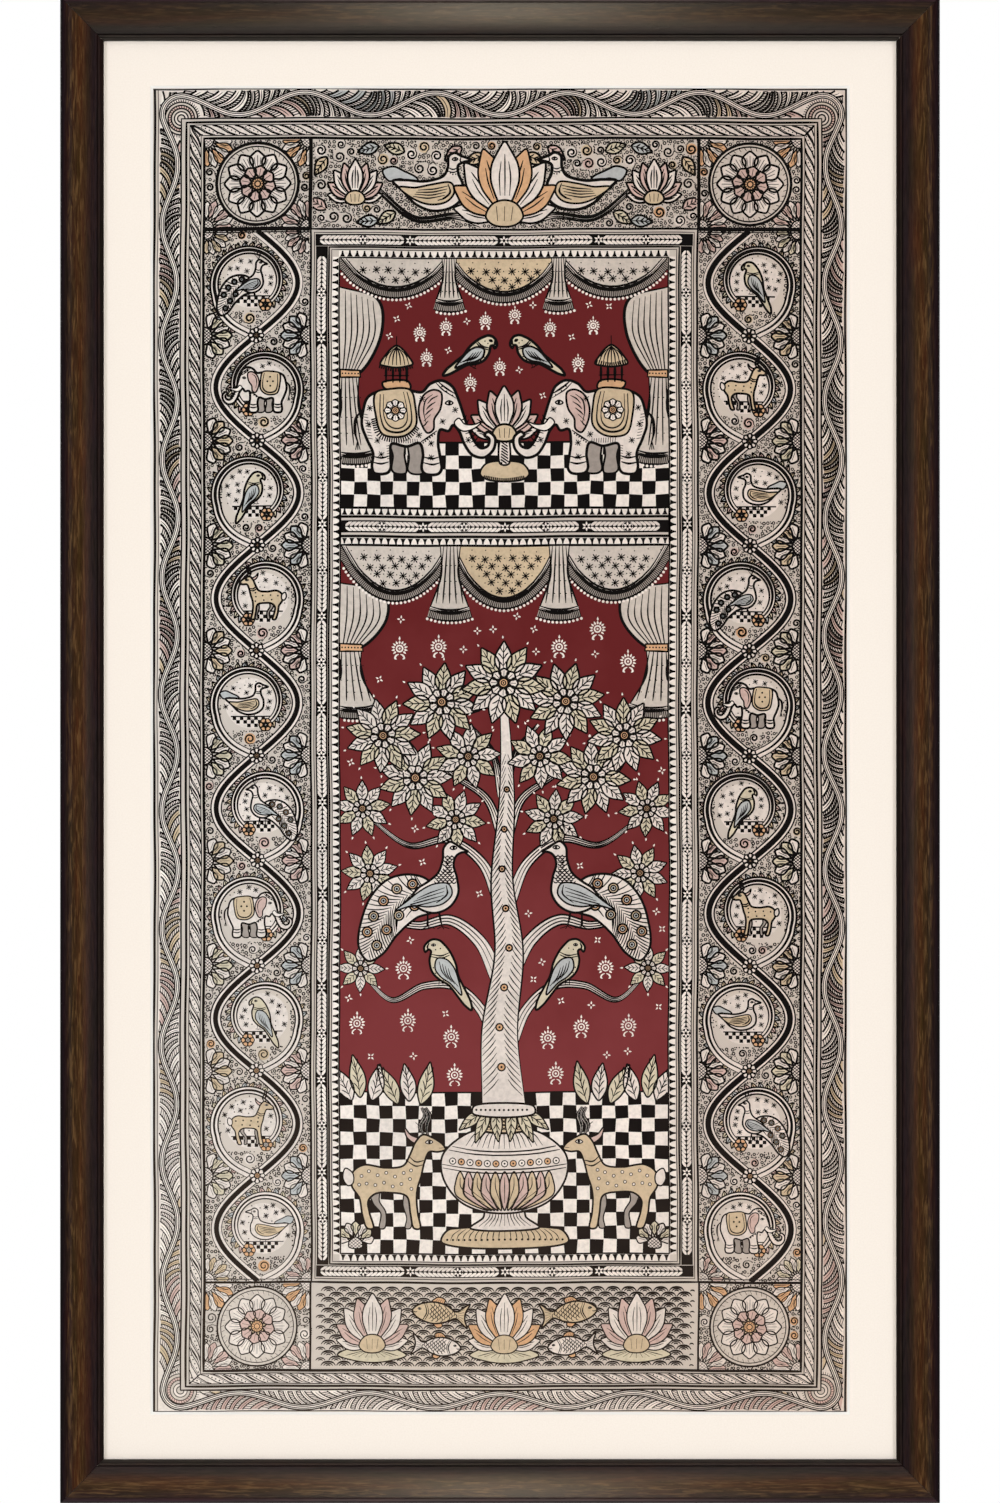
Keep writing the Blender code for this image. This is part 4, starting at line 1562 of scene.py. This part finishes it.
def handDrawn(path):
    # long runs get more points, then the slow waver of a line drawn by hand
    full = []
    for a, b in zip(path, path[1:]):
        count = max(1, ceil(dist(a, b) / waver["gap"]))
        full += [between(a, b, k / count) for k in range(count)]
    full.append(path[-1])
    out = [(u + .42 * sin(v / 41 + .7) + .16 * sin(v / 12 + u / 29),
            v + .4 * sin(u / 37 + 1.9) + .15 * sin(u / 11 + v / 31)) for u, v in full]
    kept = [out[0]]
    for k in range(1, len(out) - 1):
        (ax, ay), (bx, by), (cx, cy) = kept[-1], out[k], out[k + 1]
        long = hypot(cx - ax, cy - ay)
        off = abs((bx - ax) * (cy - ay) - (by - ay) * (cx - ax)) / max(long, 1e-9)
        if off > waver["flat"] or long > waver["longest"]:
            kept.append(out[k])
    return kept + [out[-1]]


def onCloth(u, v, depth):
    return (windowMiddle.x + (u - sheetWidth / 2) / 1000, clothFront - paintLift - depth * depthStep,
            windowMiddle.z - (v - sheetHeight / 2) / 1000)


def newObject(name, verts=(), edges=(), faces=(), bm=None):
    mesh = bpy.data.meshes.new(name)
    if bm:
        bm.to_mesh(mesh)
        bm.free()
    else:
        mesh.from_pydata(verts, edges, faces)
    obj = bpy.data.objects.new(name, mesh)
    scene.collection.objects.link(obj)
    return obj


def flatMap(mesh):
    # the art's own flat map, one to one with the cloth
    co = np.empty(len(mesh.vertices) * 3)
    mesh.vertices.foreach_get("co", co)
    index = np.empty(len(mesh.loops), int)
    mesh.loops.foreach_get("vertex_index", index)
    x, _, z = co.reshape(-1, 3)[index].T
    uv = np.stack(((x - windowMiddle.x) / mapSpan + .5, (z - windowMiddle.z) / mapSpan + .5), 1)
    mesh.uv_layers.new(name="OFBake").data.foreach_set("uv", uv.ravel())


def finishPiece(obj, finish):
    # every face of the art looks out of the picture, and the slivers are dropped
    bm = bmesh.new()
    bm.from_mesh(obj.data)
    bm.normal_update()
    bmesh.ops.reverse_faces(bm, faces=[f for f in bm.faces if f.normal.y > 0])
    bmesh.ops.delete(bm, geom=[f for f in bm.faces if f.calc_area() < 1e-12], context="FACES")
    bm.to_mesh(obj.data)
    bm.free()
    obj.data.materials.clear()
    obj.data.materials.append(finish)
    flatMap(obj.data)
    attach(obj, "root")


def groupOf(name, **sockets):
    g = bpy.data.node_groups.new(name, "GeometryNodeTree")
    for label, kind in (("Geometry", "Geometry"), *sockets.items()):
        g.interface.new_socket(label, in_out="INPUT", socket_type="NodeSocket" + kind)
    g.interface.new_socket("Geometry", in_out="OUTPUT", socket_type="NodeSocketGeometry")
    return g, node(g, "NodeGroupInput").outputs


def numberOf(g, name):
    return node(g, "GeometryNodeInputNamedAttribute", data_type="FLOAT", Name=name).outputs["Attribute"]


def coated(g, geometry, ink):
    # plain geometry in one finish, out of the group
    whole, coat = node(g, "GeometryNodeRealizeInstances"), node(g, "GeometryNodeSetMaterial")
    join(g, (geometry, whole.inputs[0]), (whole.outputs[0], coat.inputs["Geometry"]),
         (ink, coat.inputs["Material"]), (coat.outputs[0], node(g, "NodeGroupOutput").inputs[0]))


def penTree():
    # edges become ribbons of ink, each as wide as its penWidth
    g, given = groupOf("penLine", Ink="Material")
    path, radius = node(g, "GeometryNodeMeshToCurve"), node(g, "GeometryNodeSetCurveRadius")
    normal = node(g, "GeometryNodeSetCurveNormal", mode="FREE", Normal=(0, -1, 0))
    nib = node(g, "GeometryNodeCurvePrimitiveLine", Start=(0, -.5, 0), End=(0, .5, 0))
    ribbon, wide = node(g, "GeometryNodeCurveToMesh"), numberOf(g, "penWidth")
    join(g, (given[0], path.inputs["Mesh"]), (path.outputs[0], radius.inputs["Curve"]),
         (wide, radius.inputs["Radius"]), (radius.outputs[0], normal.inputs["Curve"]),
         (normal.outputs[0], ribbon.inputs["Curve"]), (nib.outputs[0], ribbon.inputs["Profile Curve"]))
    if "Scale" in ribbon.inputs:
        join(g, (wide, ribbon.inputs["Scale"]), (path.outputs[0], normal.inputs["Curve"]))
    coated(g, ribbon.outputs[0], given["Ink"])
    return g


def stampTree():
    # one small shape at every point, turned and sized by the point
    g, given = groupOf("stamping", Stamp="Object", Ink="Material")
    pattern, spin = node(g, "GeometryNodeObjectInfo"), node(g, "ShaderNodeCombineXYZ")
    put = node(g, "GeometryNodeInstanceOnPoints")
    join(g, (given[0], put.inputs["Points"]), (given["Stamp"], pattern.inputs["Object"]),
         (pattern.outputs["Geometry"], put.inputs["Instance"]), (numberOf(g, "turn"), spin.inputs["Y"]),
         (spin.outputs[0], put.inputs["Rotation"]), (numberOf(g, "size"), put.inputs["Scale"]))
    coated(g, put.outputs[0], given["Ink"])
    return g


def grown(obj, group, numbers, values):
    # gives the points their numbers, runs the group on the object and keeps the plain mesh
    for name, column in numbers.items():
        obj.data.attributes.new(name, "FLOAT", "POINT").data.foreach_set("value", column)
    mod = obj.modifiers.new("grow", "NODES")
    mod.node_group = group
    for item in group.interface.items_tree:
        if item.in_out == "INPUT" and item.name in values:
            mod[item.identifier] = values[item.name]
    bpy.context.view_layer.update()
    graph = bpy.context.evaluated_depsgraph_get()
    old, obj.data = obj.data, bpy.data.meshes.new_from_object(obj.evaluated_get(graph), depsgraph=graph)
    obj.modifiers.clear()
    bpy.data.meshes.remove(old)


def makeLines(name, marks, finish):
    verts, edges, widths = [], [], []
    for path, wide, depth, _, taper, whole in marks:
        path = handDrawn(path)
        if whole:
            path = path[:-1]
        if len(path) < 2:
            continue
        first, n = len(verts), len(path)
        swell = dice.uniform(*hand["swell"])
        for k, (u, v) in enumerate(path):
            t = k / (n - 1)
            full = min(1, hand["tip"] + hand["fill"] * min(t, 1 - t)) if taper else 1
            verts.append(onCloth(u, v, depth))
            widths.append(wide / 1000 * swell * full)
        edges += [(first + k, first + k + 1) for k in range(n - 1)]
        if whole and n > 2:
            edges.append((first + n - 1, first))
    obj = newObject(name, verts, edges)
    grown(obj, ribbons, {"penWidth": widths}, {"Ink": finish})
    finishPiece(obj, finish)


def makeAreas(name, marks, finish):
    verts, faces = [], []
    for path, _, depth in marks:
        path = handDrawn(path + path[:1])[:-1]
        if len(path) < 3:
            continue
        first = len(verts)
        verts += [onCloth(u, v, depth) for u, v in path]
        triangles = tessellate_polygon([[Vector((u, v, 0)) for u, v in path]])
        faces += [tuple(first + k for k in corners) for corners in triangles]
    finishPiece(newObject(name, verts, (), faces), finish)


def makeStamps(name, kind, marks, finish):
    moved = [handDrawn([(u, v), (u, v)])[0] for _, u, v, *_ in marks]
    obj = newObject(name, [onCloth(*p, m[5]) for p, m in zip(moved, marks)])
    if kind == "ringlet":
        verts = [(r * cos(k * pi / 5), 0, r * sin(k * pi / 5)) for r in (1, .42) for k in range(10)]
        faces = [(k, (k + 1) % 10, 10 + (k + 1) % 10, 10 + k) for k in range(10)]
    else:
        verts = [(x, 0, -y) for x, y in stampShapes[kind]]
        faces = [tuple(range(len(verts)))]
    pattern = newObject(name + "Stamp", verts, (), faces)
    numbers = {"size": [m[3] / 1000 for m in marks], "turn": [m[4] for m in marks]}
    grown(obj, marking, numbers, {"Stamp": pattern, "Ink": finish})
    bpy.data.objects.remove(pattern)
    finishPiece(obj, finish)


zones = {"field": (37, 33, 452, 890), "centre": (111, 99, 378, 830), "half": 460}


def zoneOf(mark):
    # the lines of one ink are many, so they are made in zones
    u, v = mark[0][len(mark[0]) // 2]
    (l, t, r, b), (left, top, right, bottom) = zones["field"], zones["centre"]
    if mark[3] != "ink":
        return "All"
    if not (l < u < r and t < v < b):
        zone = "Border"
    elif left < u < right:
        zone = "Centre" if top < v < bottom else "End"
    else:
        zone = "Side"
    return zone if zone == "End" else zone + ("High" if v < zones["half"] else "Low")


def grouped(marks, keyOf):
    # the marks by their key, in the order of the keys
    groups = {}
    for mark in marks:
        groups.setdefault(keyOf(mark), []).append(mark)
    return sorted(groups.items())


ribbons, marking = penTree(), stampTree()
finishes = {name: paintFinish(name + "Paint", rgb) for name, rgb in paints.items()}
print("marks drawn:", len(areas), "areas,", len(lines), "lines,", len(stamps), "stamps")

for paint, some in grouped(areas, lambda mark: mark[1]):
    makeAreas(paint + "Areas", some, finishes[paint])
print("areas laid")
for (ink, zone), some in grouped(lines, lambda mark: (mark[3], zoneOf(mark))):
    makeLines(ink + "Lines" + zone, some, finishes[ink])
print("lines drawn")
for (kind, ink), some in grouped(stamps, lambda mark: (mark[0], mark[6])):
    makeStamps(ink + kind.capitalize() + "s", kind, some, finishes[ink])
print("stamps set")


# the cloth, the frame and the mount

def makeCloth():
    # one sheet, its long edges a touch uneven where they were cut
    wide, high, slip = 40, 76, .0004
    bm, grid = bmesh.new(), {}
    for layer, i, j in product((0, 1), range(wide + 1), range(high + 1)):
        shares = i / wide, layer, j / high
        x, y, z = (low + (top - low) * share for low, top, share in zip(clothLow, clothHigh, shares))
        x += {0: slip, wide: -slip}.get(i, 0) * (1 + sin(j * 1.7))
        grid[layer, i, j] = bm.verts.new((x, y, z))
    corners = (0, 0), (1, 0), (1, 1), (0, 1)
    cells = product(range(wide), range(high), (0, 1))
    quads = [[(layer, i + a, j + b) for a, b in corners] for i, j, layer in cells]
    quads += [[(a, i, j + b) for a, b in corners] for j, i in product(range(high), (0, wide))]
    quads += [[(a, i + b, j) for a, b in corners] for i, j in product(range(wide), (0, high))]
    for quad in quads:
        bm.faces.new([grid[key] for key in quad])
    bmesh.ops.recalc_face_normals(bm, faces=bm.faces)
    obj = newObject("clothSheet", bm=bm)
    obj.data.materials.append(clothFinish())
    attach(obj, "root")
    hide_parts("painted_cloth")
    return obj


cloth = makeCloth()


def coat(name, finish):
    for slot in bpy.data.objects[name].material_slots:
        slot.material = finish


for side, *look in woodLook["rails"]:
    coat("frame_rail_" + side, woodFinish(side, *look))
coat("mount_board", cardFinish())
coat("backing_board", hardboardFinish())
print("frame finished")


# the lights, the surround and the view

def lamp(name, at, aim, size, power, colour=(1, 1, 1)):
    data = bpy.data.lights.new(name, "AREA")
    data.shape, data.energy, data.color = "RECTANGLE", power, colour
    data.size, data.size_y = size
    obj = bpy.data.objects.new(name, data)
    scene.collection.objects.link(obj)
    obj.location = at
    obj.rotation_euler = (Vector(aim) - Vector(at)).to_track_quat("-Z", "Y").to_euler()


studio = {"room": .3, "air": (1, .99, .975, 1), "keys": 32, "strip": 60, "glints": 2.2, "rear": 32,
          "warm": (1, .95, .86), "cool": (1, 1.01, 1.08)}
for name, side in (("left", -1), ("right", 1)):
    lamp(name + "Rear", (side * 1.8, 2.4, .2), (0, 0, middle), (1, 1), studio["rear"])
    lamp(name + "Softbox", (side * 2.3, -3, middle), (side * .15, 0, middle), (.7, 1.2), studio["keys"],
         studio["cool"])
lamp("tallStrip", (0, -3.1, middle), (0, 0, middle), (.3, 7), studio["strip"], studio["warm"])
for name, z in (("above", 1), ("below", -2.05)):
    lamp(name + "Glint", (0, -.3, z), (0, -.02, middle), (.4, .7), studio["glints"], studio["warm"])

scene.world = bpy.data.worlds.new("room")
scene.world.use_nodes = True
air = scene.world.node_tree
feed(air, air.nodes["Background"], {0: studio["air"], 1: studio["room"]})

bm = bmesh.new()
bmesh.ops.create_uvsphere(bm, u_segments=48, v_segments=24, radius=14)
bmesh.ops.reverse_faces(bm, faces=bm.faces)
surround = newObject("paleSurround", bm=bm)
glow = bpy.data.materials.new("surroundWhite")
glow.use_nodes = True
glow.node_tree.nodes.clear()
light = node(glow.node_tree, "ShaderNodeEmission", Color=(1, 1, 1, 1), Strength=1.0)
join(glow.node_tree, (light.outputs[0], node(glow.node_tree, "ShaderNodeOutputMaterial").inputs[0]))
surround.data.materials.append(glow)
for way in ("diffuse", "glossy", "transmission", "shadow"):
    setattr(surround, "visible_" + way, False)

lens = bpy.data.cameras.new("view")
lens.lens, lens.sensor_width = 103.58, 36
camera = bpy.data.objects.new("view", lens)
scene.collection.objects.link(camera)
camera.location = (0, -3.02, -.51294)
camera.rotation_euler = (pi / 2, 0, 0)
scene.camera = camera
scene.view_settings.view_transform = "Standard"
print("studio set")
